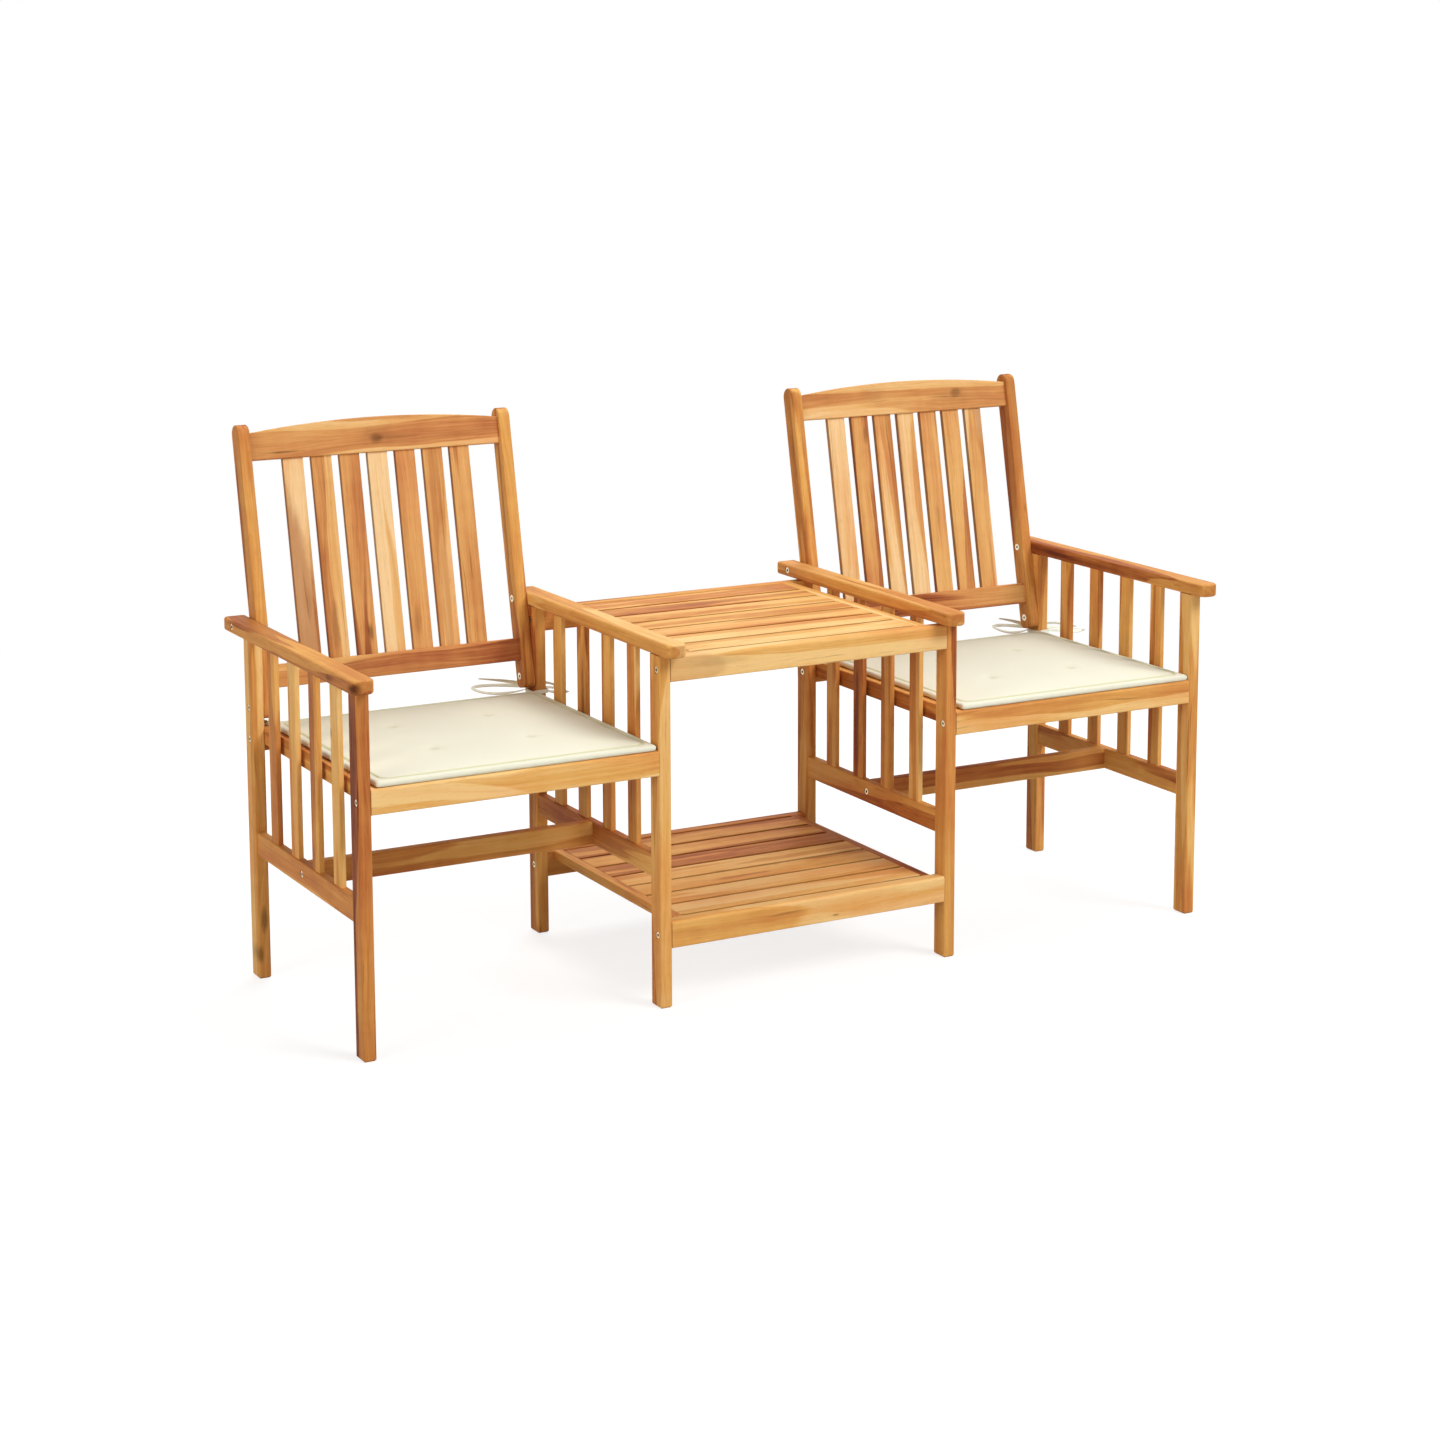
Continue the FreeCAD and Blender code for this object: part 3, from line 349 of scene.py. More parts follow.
def oiled_wood(name, along, seed, tone=None, row=None, rosy=False, knots=(), stains=()):
    """Oiled acacia board.

    Along the grain run broad patches, streaks and fibres, which are noise stretched more
    and more, and the bounds of heartwood, which are a noise's sharp level lines. A row of
    boards takes its tones and shifts its grain from board to board, and its flat slats
    get painted shade on their narrow faces, which look into the gaps between them.
    """
    wood = Finish(bpy.data.materials.new(name))
    chance = np.random.default_rng(seed)
    place = wood.object_place()
    shift = chance.uniform(*BOARD_SHIFTS)
    if row:
        index, tone = row_tone(wood, place, row)
        shift = index * ROW_SHIFT + shift
    grain = board_grain(wood, board_axes(wood, place, along), shift, chance)
    figure = tone
    for pattern, weight in FIGURE.items():
        figure = figure + (grain[pattern] - 0.5) * weight
    colour = wood.ramp(figure, TONES)
    salmon = grain["patches"].step(*SALMON_PATCHES) * SALMON_SHARE
    colour = wood.blend(salmon, colour, SALMON, "MULTIPLY")
    dark = grain["dark_lines"] * DARK_LINE_SHARE + grain["pores"] * PORE_SHARE
    colour = wood.blend(dark, colour, UMBER)
    if rosy:
        colour = wood.blend(1.0, colour, ROSY, "MULTIPLY")
    for marks, core, shade in ((stains, STAIN_CORE, RUSSET), (knots, KNOT_CORE, KNOT)):
        if marks:
            colour = wood.blend(mark_shade(wood, place, grain["ripple"], marks, core), colour, shade)
    normal = wood.node("ShaderNodeTexCoord").outputs["Normal"]
    # Painted shade: the slats' narrow faces toward their neighbours turn darker, standing in for the
    # shade in the gaps
    if row and along != ALONG_Z:
        sides = wood.split(normal)["xyz".index(row[0])].math("ABSOLUTE").step(*GAP_SHADE_SIDES)
        colour = wood.blend(sides * GAP_SHADE_SHARE, colour, UMBER)
    ends = board_axes(wood, normal, along)[2].math("ABSOLUTE").step(*CUT_ENDS)
    colour = wood.blend(ends * (END_SHARE + grain["end_rings"] * END_RING_SHARE), colour, RUSSET)
    relief = grain["fine"] * 0.6 + grain["fibres"] * 0.4 - grain["pores"] * 0.8
    return wood.principled({
        "Base Color": colour,
        "Roughness": 0.48 + grain["fibres"] * 0.12 + grain["pores"] * 0.15 + ends * 0.15,
        "Specular IOR Level": 0.08,
        "Coat Weight": grain["streaks"] * 0.03,
        "Coat Roughness": 0.34,
    }, relief, *WOOD_RELIEF)


def dress(node, material):
    """Gives a CAD node a material."""
    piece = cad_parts[node]
    piece.data.materials.clear()
    piece.data.materials.append(material)


BACK_SLAT_WIDTH = 35 * MM
DECK_SLAT_WIDTH = 54 * MM
SIDE_SLAT_WIDTH = 31 * MM


def row_of(node, axis, tones):
    """Axis, start, pitch and tones of a row of boards; its place is read from the node's box."""
    low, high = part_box(node)
    index = "xyz".index(axis)
    width = {"x": BACK_SLAT_WIDTH, "y": DECK_SLAT_WIDTH}[axis]
    if "side_slats" in node:
        width = SIDE_SLAT_WIDTH
    pitch = (high[index] - low[index] - width) / (len(tones) - 1)
    return axis, low[index] - (pitch - width) / 2, pitch, tones


# How dark each board is, from 0 for the palest honey to 1 for the darkest brown
BOARD_TONES = {
    "left_chair_outer_front_leg": 0.74,
    "left_chair_outer_rear_leg": 0.34,
    "left_chair_inner_front_leg": 0.36,
    "left_chair_inner_rear_leg": 0.55,
    "right_chair_inner_front_leg": 0.58,
    "right_chair_inner_rear_leg": 0.50,
    "right_chair_outer_front_leg": 0.36,
    "right_chair_outer_rear_leg": 0.48,
    "left_chair_outer_armrest": 0.64,
    "left_chair_inner_armrest": 0.36,
    "right_chair_inner_armrest": 0.42,
    "right_chair_outer_armrest": 0.66,
    "left_chair_outer_side_rail": 0.38,
    "left_chair_inner_side_rail": 0.50,
    "right_chair_inner_side_rail": 0.52,
    "right_chair_outer_side_rail": 0.55,
    "left_chair_cross_bar": 0.44,
    "right_chair_cross_bar": 0.46,
    "left_back_outer_stile": 0.62,
    "left_back_inner_stile": 0.60,
    "right_back_inner_stile": 0.46,
    "right_back_outer_stile": 0.64,
    "left_back_top_rail": 0.42,
    "right_back_top_rail": 0.46,
    "left_back_bottom_rail": 0.52,
    "right_back_bottom_rail": 0.58,
    "left_seat_front_apron": 0.12,
    "right_seat_front_apron": 0.28,
    "left_seat_rear_rail": 0.60,
    "right_seat_rear_rail": 0.60,
    "left_seat_left_side_piece": 0.60,
    "left_seat_right_side_piece": 0.60,
    "right_seat_left_side_piece": 0.58,
    "right_seat_right_side_piece": 0.58,
    "table_front_apron": 0.16,
    "table_rear_rail": 0.52,
    "table_left_side_piece": 0.38,
    "table_right_side_piece": 0.18,
    "shelf_front_apron": 0.22,
    "shelf_rear_rail": 0.62,
    "shelf_left_side_piece": 0.55,
    "shelf_right_side_piece": 0.60,
}
ROW_TONES = {
    "left_back_slats": ("x", [0.24, 0.48, 0.64, 0.20, 0.54, 0.34, 0.63]),
    "right_back_slats": ("x", [0.26, 0.58, 0.30, 0.32, 0.52, 0.48, 0.24]),
    "left_seat_slats": ("y", [0.45, 0.35, 0.5, 0.4, 0.5, 0.3, 0.45]),
    "right_seat_slats": ("y", [0.4, 0.5, 0.35, 0.45, 0.4, 0.5, 0.35]),
    "table_slats": ("y", [0.22, 0.24, 0.34, 0.44, 0.34, 0.46, 0.40]),
    "shelf_slats": ("y", [0.12, 0.24, 0.46, 0.36, 0.52, 0.54, 0.56]),
    "left_chair_outer_side_slats": ("y", [0.38, 0.58, 0.36, 0.42]),
    "left_chair_inner_side_slats": ("y", [0.34, 0.48, 0.62, 0.46]),
    "right_chair_inner_side_slats": ("y", [0.38, 0.42, 0.56, 0.48]),
    "right_chair_outer_side_slats": ("y", [0.42, 0.40, 0.50, 0.44]),
}


def grain_direction(node):
    """Direction of a node's boards, from its name."""
    if "stile" in node or node.endswith("back_slats"):
        return ALONG_BACK
    if node.endswith(("_leg", "side_slats")):
        return ALONG_Z
    if node.endswith(("armrest", "side_rail", "side_piece")):
        return ALONG_Y
    return ALONG_X


# Knots and streaks of single boards: centre, radii and strength of each, in metres
THROUGH = 1.0
BOARD_KNOTS = {
    "left_back_top_rail": [
        ((-0.5185, 0, 0.865), (0.014, THROUGH, 0.012), 0.42),
        ((-0.5185, 0, 0.872), (0.040, THROUGH, 0.022), 0.14),
        ((-0.482, 0, 0.867), (0.045, THROUGH, 0.006), 0.16),
        ((-0.690, 0, 0.854), (0.050, THROUGH, 0.0022), 0.60),
    ],
    "left_back_slats": [
        ((-0.559, 0, 0.553), (0.006, THROUGH, 0.016), 0.55),
        ((-0.619, 0, 0.571), (0.009, THROUGH, 0.045), 0.34),
        ((-0.497, 0, 0.665), (0.004, THROUGH, 0.080), 0.20),
        ((-0.474, 0, 0.565), (0.008, THROUGH, 0.030), 0.24),
        ((-0.662, 0, 0.610), (0.006, THROUGH, 0.040), 0.20),
    ],
    "right_back_slats": [
        ((0.428, 0, 0.812), (0.006, THROUGH, 0.022), 0.42),
        ((0.566, 0, 0.650), (0.004, THROUGH, 0.040), 0.25),
    ],
    "right_back_top_rail": [
        ((0.628, 0, 0.874), (0.014, THROUGH, 0.012), 0.38),
        ((0.622, 0, 0.870), (0.050, THROUGH, 0.018), 0.14),
        ((0.450, 0, 0.880), (0.034, THROUGH, 0.022), 0.14),
    ],
    "left_chair_outer_armrest": [
        ((-0.790, -0.300, 0.581), (0.012, 0.026, 0.010), 0.85),
        ((-0.795, -0.206, 0.580), (0.010, 0.018, 0.008), 0.50),
    ],
    "left_chair_outer_rear_leg": [
        ((-0.767, 0.185, 0.099), (0.008, 0.05, 0.026), 0.55),
        ((-0.776, 0.185, 0.042), (0.008, 0.05, 0.020), 0.55),
    ],
    "left_chair_outer_side_slats": [
        ((-0.773, -0.153, 0.483), (0.03, 0.004, 0.011), 0.60),
    ],
    "left_chair_inner_side_slats": [
        ((-0.271, 0.0125, 0.452), (0.03, 0.007, 0.090), 0.50),
        ((-0.271, 0.006, 0.400), (0.03, 0.012, 0.200), 0.12),
    ],
    "right_chair_inner_side_slats": [
        ((0.262, 0.021, 0.345), (0.03, 0.009, 0.110), 0.46),
    ],
    "right_back_outer_stile": [
        ((0.734, 0.230, 0.782), (0.02, 0.020, 0.060), 0.26),
        ((0.752, 0.21, 0.655), (0.004, 0.03, 0.014), 0.50),
    ],
    "table_slats": [
        ((-0.141, 0.016, 0.568), (0.018, 0.0018, THROUGH), 0.60),
        ((-0.009, 0.093, 0.568), (0.080, 0.010, THROUGH), 0.20),
    ],
    "table_front_apron": [
        ((-0.180, 0, 0.553), (0.080, THROUGH, 0.010), 0.14),
    ],
    "shelf_slats": [
        ((0.199, -0.061, 0.141), (0.034, 0.006, THROUGH), 0.22),
        ((0.045, -0.030, 0.141), (0.020, 0.004, THROUGH), 0.30),
        ((0.073, 0.030, 0.141), (0.026, 0.005, THROUGH), 0.22),
    ],
    "shelf_front_apron": [
        ((0.045, 0, 0.107), (0.008, THROUGH, 0.002), 0.60),
    ],
}
# Brown heartwood areas of single boards, which end at a clear line
BOARD_STAINS = {
    "left_back_slats": [
        ((-0.700, 0, 0.540), (0.055, THROUGH, 0.280), 0.62),
        ((-0.640, 0, 0.600), (0.014, THROUGH, 0.200), 0.40),
        ((-0.420, 0, 0.700), (0.010, THROUGH, 0.260), 0.30),
    ],
    "right_back_slats": [
        ((0.700, 0, 0.880), (0.036, THROUGH, 0.200), 0.48),
        ((0.489, 0, 0.760), (0.014, THROUGH, 0.300), 0.45),
    ],
    "left_back_outer_stile": [
        ((-0.764, 0, 0.700), (0.006, THROUGH, 0.300), 0.35),
    ],
    "right_back_outer_stile": [
        ((0.734, 0.260, 0.800), (0.030, 0.030, 0.300), 0.45),
    ],
    "table_front_apron": [
        ((-0.215, 0, 0.545), (0.060, THROUGH, 0.024), 0.25),
    ],
    "left_chair_inner_armrest": [
        ((-0.270, -0.03, 0.571), (0.030, 0.200, 0.006), 0.35),
    ],
}


BOARD_SEED = 100
ROW_SEED = 300


def dress_wood(node, seed, **finish):
    """Gives a node its own oiled wood, with its knots and stains; the backs' is rosier."""
    rosy = "_back_" in node and "stile" not in node
    material = oiled_wood(f"wood_{node}", grain_direction(node), seed, rosy=rosy,
                          knots=BOARD_KNOTS.get(node, ()), stains=BOARD_STAINS.get(node, ()), **finish)
    dress(node, material)


for seed, (node, tone) in enumerate(BOARD_TONES.items(), BOARD_SEED):
    dress_wood(node, seed, tone=tone)
for seed, (node, (axis, tones)) in enumerate(ROW_TONES.items(), ROW_SEED):
    dress_wood(node, seed, row=row_of(node, axis, tones))


# Bolts and nuts

STEEL = paint(250, 240, 216)
STEEL_TINT = paint(232, 212, 170)
# Painted shade in the bolts' sockets and recesses, laid where the occlusion node finds the surface
# closed in
SOCKET_SHADE = paint(40, 27, 16)
SOCKET_REACH = 4 * MM
SOCKET_OPEN = (0.80, 0.45)
STEEL_CLOUDS = (260.0, 260.0, 260.0)
STEEL_SCRATCHES = (4000.0, 900.0, 900.0)
STEEL_RELIEF = (0.15, 0.05 * MM)


def passivated_steel():
    """Pale passivated steel: cloudy noise turns its tint and its gloss.

    Sockets are dull, and painted shade darkens them; they lie where little of the sky is open to the
    surface.
    """
    metal = Finish(bpy.data.materials.new("passivated_steel"))
    clouds = metal.clouds(STEEL_CLOUDS, 3.0, 0.6)
    scratches = metal.clouds(STEEL_SCRATCHES)
    open_sky = metal.scalar("ShaderNodeAmbientOcclusion", {"only_local": True, "samples": 8},
                            {"Distance": SOCKET_REACH}, "AO")
    # Painted shade mask: closed-in places turn dark; the same mask also dulls the metal and raises its
    # roughness
    socket = open_sky.step(*SOCKET_OPEN)
    bright = metal.blend(clouds.step(0.3, 0.7), STEEL, STEEL_TINT)
    return metal.principled({
        "Base Color": metal.blend(socket, bright, SOCKET_SHADE),
        "Metallic": 1.0 - socket * 0.7,
        "Roughness": 0.24 + clouds * 0.12 + scratches * 0.08 + socket * 0.4,
    }, scratches, *STEEL_RELIEF)


bolt_finish = passivated_steel()
for node in ("frame_bolts", "stile_nuts"):
    dress(node, bolt_finish)


# Seat pads

PAD_CORNER = 6 * MM
PAD_ROLL = 5 * MM
PAD_BORDER = 13 * MM
PAD_SEAM_CORNER = 18 * MM
PAD_EDGE_HEIGHT = 10 * MM
PAD_CROWN = 7.5 * MM
PAD_SEAM_DEPTH = 1.7 * MM
PAD_SEAM_WIDTH = 1.3 * MM
PAD_FULLER = {"left": (7 * MM, 4 * MM), "right": (9 * MM, 0)}
TUFT_ACROSS = 166 * MM
TUFT_DEEP = 168 * MM
TUFT_DEPTH = 3.6 * MM
TUFT_WIDTH = 11 * MM
TUFT_HELD = 4 * MM
PLEAT_DEPTH = 0.5 * MM
PLEAT_REACH = 16 * MM
PLEAT_START = 2 * MM
PLEATS = 5
PLEAT_TURN = 40
PAD_CELL = 6 * MM
PUFF_CAP = 5 * MM
PUFF_FRAMES = 20
PUFF_CLOTH = {
    "quality": 6,
    "mass": 0.25,
    "tension_stiffness": 25,
    "compression_stiffness": 25,
    "shear_stiffness": 12,
    "bending_stiffness": 0.6,
    "use_pressure": True,
    "uniform_pressure_force": 4.0,
    "pin_stiffness": 1.0,
}
MERGE_REACH = 0.02 * MM
EDGE_STEPS = np.array([0, 0.4, 1.1, 2.2, 3.6, 5.2, 7.2, 9.2,
                       10.8, 12.0, 13.0, 14.0, 15.2, 17.2, 20.5]) * MM


def spread_points(half):
    """Places from -half to half, close together near both ends."""
    inner = half - EDGE_STEPS[-1]
    middle = np.linspace(-inner, inner, 1 + 2 * round(inner / PAD_CELL))
    return np.concatenate([EDGE_STEPS - half, middle[1:-1], (half - EDGE_STEPS)[::-1]])


def outline_distance(x, y, half_x, half_y, corner):
    """Distance inwards from the edge of a rectangle with round corners, negative outside."""
    over_x = np.abs(x) - (half_x - corner)
    over_y = np.abs(y) - (half_y - corner)
    outside = np.hypot(np.maximum(over_x, 0), np.maximum(over_y, 0))
    return corner - outside - np.minimum(np.maximum(over_x, over_y), 0)


def pad_plan(half_x, half_y):
    """Grid of a rectangle whose corner squares are drawn in to quarter discs."""
    x, y = np.meshgrid(spread_points(half_x), spread_points(half_y), indexing="ij")
    over_x = np.clip(np.abs(x) - (half_x - PAD_CORNER), 0, None) / PAD_CORNER
    over_y = np.clip(np.abs(y) - (half_y - PAD_CORNER), 0, None) / PAD_CORNER
    drawn_x = over_x * (1 - np.sqrt(1 - over_y ** 2 / 2)) * PAD_CORNER
    drawn_y = over_y * (1 - np.sqrt(1 - over_x ** 2 / 2)) * PAD_CORNER
    return x - np.sign(x) * drawn_x, y - np.sign(y) * drawn_y


def tuft_reach(x, y):
    """Distance to the nearest of the four tufts, and the direction from it."""
    from_x = np.abs(x) - TUFT_ACROSS / 2
    from_y = np.abs(y) - TUFT_DEEP / 2
    return np.hypot(from_x, from_y), np.arctan2(from_y, from_x)


def join_grids(name, grids):
    """Mesh of several grids of points, merged where their borders meet."""
    points = np.concatenate([grid.reshape(-1, 3) for grid in grids])
    faces = []
    start = 0
    for grid in grids:
        rows, columns = grid.shape[:2]
        index = np.arange(rows * columns).reshape(rows, columns) + start
        quads = np.stack([index[:-1, :-1], index[1:, :-1], index[1:, 1:], index[:-1, 1:]], axis=-1)
        faces.append(quads.reshape(-1, 4))
        start += rows * columns
    mesh = bpy.data.meshes.new(name)
    mesh.from_pydata(points.tolist(), [], np.concatenate(faces).tolist())
    shape = bmesh.new()
    shape.from_mesh(mesh)
    bmesh.ops.remove_doubles(shape, verts=shape.verts, dist=MERGE_REACH)
    bmesh.ops.recalc_face_normals(shape, faces=shape.faces)
    shape.to_mesh(mesh)
    shape.free()
    return mesh


def mesh_points(mesh):
    """Places of a mesh's points as an array."""
    points = np.empty(len(mesh.vertices) * 3)
    mesh.vertices.foreach_get("co", points)
    return points.reshape(-1, 3)


def set_points(mesh, points):
    """Moves a mesh's points."""
    mesh.vertices.foreach_set("co", points.ravel())
    mesh.update()


def smooth(mesh):
    """Shades a mesh smoothly."""
    mesh.polygons.foreach_set("use_smooth", np.ones(len(mesh.polygons), dtype=bool))


def add_uv(mesh, name, first, second):
    """UV map from two numbers of each of a mesh's points."""
    corners = np.empty(len(mesh.loops), dtype=np.int32)
    mesh.loops.foreach_get("vertex_index", corners)
    places = np.stack([first, second], axis=-1)[corners]
    mesh.uv_layers.new(name=name).data.foreach_set("uv", places.ravel())


def add_object(name, data):
    """Object of a mesh, lamp or camera, in the scene."""
    piece = bpy.data.objects.new(name, data)
    bpy.context.scene.collection.objects.link(piece)
    return piece


def shown_mesh(piece):
    """New mesh of a piece as its modifiers show it."""
    return bpy.data.meshes.new_from_object(piece.evaluated_get(bpy.context.evaluated_depsgraph_get()))


def puff(piece, held):
    """Cloth under pressure; held is how firmly each point stays, from 0 to 1.

    No point moves further than the cap.
    """
    group = piece.vertex_groups.new(name="held")
    for level in np.unique(held):
        group.add(np.flatnonzero(held == level).tolist(), float(level), "REPLACE")
    before = mesh_points(piece.data)
    cloth = piece.modifiers.new("cloth", "CLOTH")
    for key, value in PUFF_CLOTH.items():
        setattr(cloth.settings, key, value)
    cloth.settings.vertex_group_mass = group.name
    cloth.settings.effector_weights.gravity = 0
    cloth.point_cache.frame_start = 1
    cloth.point_cache.frame_end = PUFF_FRAMES
    scene = bpy.context.scene
    for step in range(1, PUFF_FRAMES + 1):
        scene.frame_set(step)
    shown = piece.evaluated_get(bpy.context.evaluated_depsgraph_get())
    after = mesh_points(shown.data)
    piece.modifiers.remove(cloth)
    piece.vertex_groups.clear()
    scene.frame_set(1)
    moved = after - before
    length = np.linalg.norm(moved, axis=1, keepdims=True)
    capped = moved * np.minimum(1, PUFF_CAP / np.maximum(length, 1e-9))
    set_points(piece.data, before + capped)


def pad_sheets(name, half_x, half_y):
    """Top and bottom of a pad, sheets over the same rounded plan that meet half way up the edge.

    There they are rolled by a quarter of an ellipse. The top rises in the panel as a dome,
    the product of two arches of the fourth power.
    """
    x, y = pad_plan(half_x, half_y)
    inwards = outline_distance(x, y, half_x, half_y, PAD_CORNER)
    roll = np.sqrt(1 - np.clip(1 - inwards / PAD_ROLL, 0, 1) ** 2)
    arch_x = np.clip(1 - (x / (half_x - PAD_BORDER)) ** 4, 0, None)
    arch_y = np.clip(1 - (y / (half_y - PAD_BORDER)) ** 4, 0, None)
    dome = arch_x * arch_y
    top = PAD_EDGE_HEIGHT / 2 * (1 + roll) + PAD_CROWN * 0.5 * dome
    bottom = PAD_EDGE_HEIGHT / 2 * (1 - roll)
    return join_grids(name, [np.stack([x, y, top], axis=-1), np.stack([x, y, bottom], axis=-1)])


def subdivide(piece):
    """Gives a piece the mesh of its surface once subdivided."""
    grow = piece.modifiers.new("finer", "SUBSURF")
    grow.levels = grow.render_levels = 1
    bpy.context.view_layer.update()
    finer = shown_mesh(piece)
    piece.modifiers.remove(grow)
    piece.data = finer


def make_pad(name, node, fuller):
    """Thin pad with a flat border, a sewn seam round a crowned panel and four tufts.

    Its cloth stands proud of the node's box by the fuller widths on the left and right.
    Cloth under pressure fills the panel between the seam and the tufts. The seam is then
    drawn in by a bell curve of the distance to it, and each tuft by one of the distance
    to the tuft, with pleats as a wave round it that fades out.
    """
    low, high = (np.array(corner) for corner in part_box(node))
    low[0] -= fuller[0]
    high[0] += fuller[1]
    half_x = (high[0] - low[0]) / 2
    half_y = (high[1] - low[1]) / 2
    centre = np.array([(low[0] + high[0]) / 2, (low[1] + high[1]) / 2, low[2]])
    middle = PAD_EDGE_HEIGHT / 2
    panel_size = (half_x - PAD_BORDER, half_y - PAD_BORDER, PAD_SEAM_CORNER)
    piece = add_object(name, pad_sheets(name, half_x, half_y))
    x, y, height = mesh_points(piece.data).T
    panel = outline_distance(x, y, *panel_size)
    tufted = tuft_reach(x, y)[0] < TUFT_HELD
    puff(piece, np.where((height < middle) | (panel < MM) | tufted, 1.0, 0.0))
    subdivide(piece)
    points = mesh_points(piece.data)
    x, y = points[:, 0], points[:, 1]
    panel = outline_distance(x, y, *panel_size)
    upper = points[:, 2] > middle
    reach, heading = tuft_reach(x, y)
    seam = PAD_SEAM_DEPTH * np.exp(-(panel / PAD_SEAM_WIDTH) ** 2)
    dimple = TUFT_DEPTH * np.exp(-(reach / TUFT_WIDTH) ** 1.5)
    folds = np.cos(PLEATS * heading + PLEAT_TURN * x)
    pleats = PLEAT_DEPTH * np.exp(-reach / PLEAT_REACH) * folds * (reach > PLEAT_START)
    points[:, 2] -= upper * (seam + dimple + pleats)
    points[:, 2] = np.clip(points[:, 2], 0, high[2] - low[2])
    set_points(piece.data, points + centre)
    around = np.where(np.abs(x) / half_x > np.abs(y) / half_y, y, x)
    add_uv(piece.data, "seam", around, panel)
    add_uv(piece.data, "tuft", reach, heading)
    smooth(piece.data)
    return piece


CREAM = paint(230, 230, 213)
CREAM_SHADE = paint(224, 223, 203)
SLUB = paint(214, 206, 180)
# Painted shade along the seam's groove, and the width of its band
SEAM_SHADE = paint(206, 208, 170)
# Painted shade in the tufts' dimples
TUFT_DIMPLE_SHADE = paint(206, 203, 176)
SEWING_THREAD = paint(226, 224, 198)
PAD_SLUBS = (60.0, 900.0, 60.0)
PAD_CLOUDS = (9.0, 9.0, 9.0)
WEAVE_PITCH = 0.9 * MM
STITCH_PITCH = 4.2 * MM
STITCH_LINE = (0.75 * MM, 0.45 * MM)
STITCH_DASH = (-0.35, 0.05)
SEAM_SHADE_WIDTH = (6.5 * MM, 1.5 * MM)
TUFT_SHADE = (15 * MM, 1 * MM)
PAD_RELIEF = (0.35, 0.25 * MM)


def pad_cloth():
    """Cream woven polyester: two waves cross as threads, and thread dashes follow the seam; painted
    shade darkens a band along the seam and the cloth round the tufts.
    """
    cloth = Finish(bpy.data.materials.new("pad_cloth"))
    across, deep = cloth.split(cloth.object_place())[:2]
    weave = across.wave(WEAVE_PITCH) * deep.wave(WEAVE_PITCH) * 0.5 + 0.5
    slubs = cloth.clouds(PAD_SLUBS)
    clouds = cloth.clouds(PAD_CLOUDS, 3.0)
    run, panel = cloth.uv_place("seam")
    reach = cloth.uv_place("tuft")[0]
    line = panel.math("ABSOLUTE")
    stitch = line.step(*STITCH_LINE) * run.wave(STITCH_PITCH).step(*STITCH_DASH)
    colour = cloth.blend(clouds.step(0.3, 0.75) * 0.30 + weave * 0.10, CREAM, CREAM_SHADE)
    colour = cloth.blend(slubs.step(0.6, 0.8) * 0.12, colour, SLUB)
    # Painted shade: a greenish darker band along the sewn seam
    colour = cloth.blend(line.step(*SEAM_SHADE_WIDTH) * 0.85, colour, SEAM_SHADE)
    # Painted shade: the cloth darkens toward each tuft, in its dimple
    colour = cloth.blend(reach.step(*TUFT_SHADE) * 0.60, colour, TUFT_DIMPLE_SHADE)
    colour = cloth.blend(stitch * 0.4, colour, SEWING_THREAD)
    return cloth.principled({
        "Base Color": colour,
        "Roughness": 0.82 + weave * 0.10,
        "Specular IOR Level": 0.2,
        "Sheen Weight": 0.10,
        "Sheen Roughness": 0.5,
    }, weave * 0.5 + slubs * 0.3 + stitch * 1.6, *PAD_RELIEF)


pad_finish = pad_cloth()
for side in ("left", "right"):
    pad = make_pad(f"{side}_pad_cover", f"{side}_seat_pad", PAD_FULLER[side])
    pad.data.materials.append(pad_finish)
    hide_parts(f"{side}_seat_pad")
    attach(pad, f"{side}_pad")


# Ties: two flat tapes from each rear corner of a pad, in a bow behind the leg

TAPE_WIDTH = 7 * MM
TAPE_THICK = 1.3 * MM
TAPE_SIDES = 14
TAPE_SQUARENESS = 0.45
SPLINE_STEPS = 8
SPLINE_ORDER = 3
TIE_KNOT_RADIUS = 6.4 * MM
TIE_KNOT_RINGS = 25
TIE_KNOT_SPOKES = 40
TIE_KNOT_WRAPS = 2.5
TIE_KNOT_SLANT = 0.7
TIE_KNOT_CREASE = 0.7
TIE_KNOT_CORE = 0.80
TIE_KNOT_SWELL = 0.17
TIE_KNOT_DEEP = 0.82
TIE_KNOT_HIGH = 0.90
TIE_BEHIND_LEG = 7 * MM
TIE_HEIGHT = 425 * MM


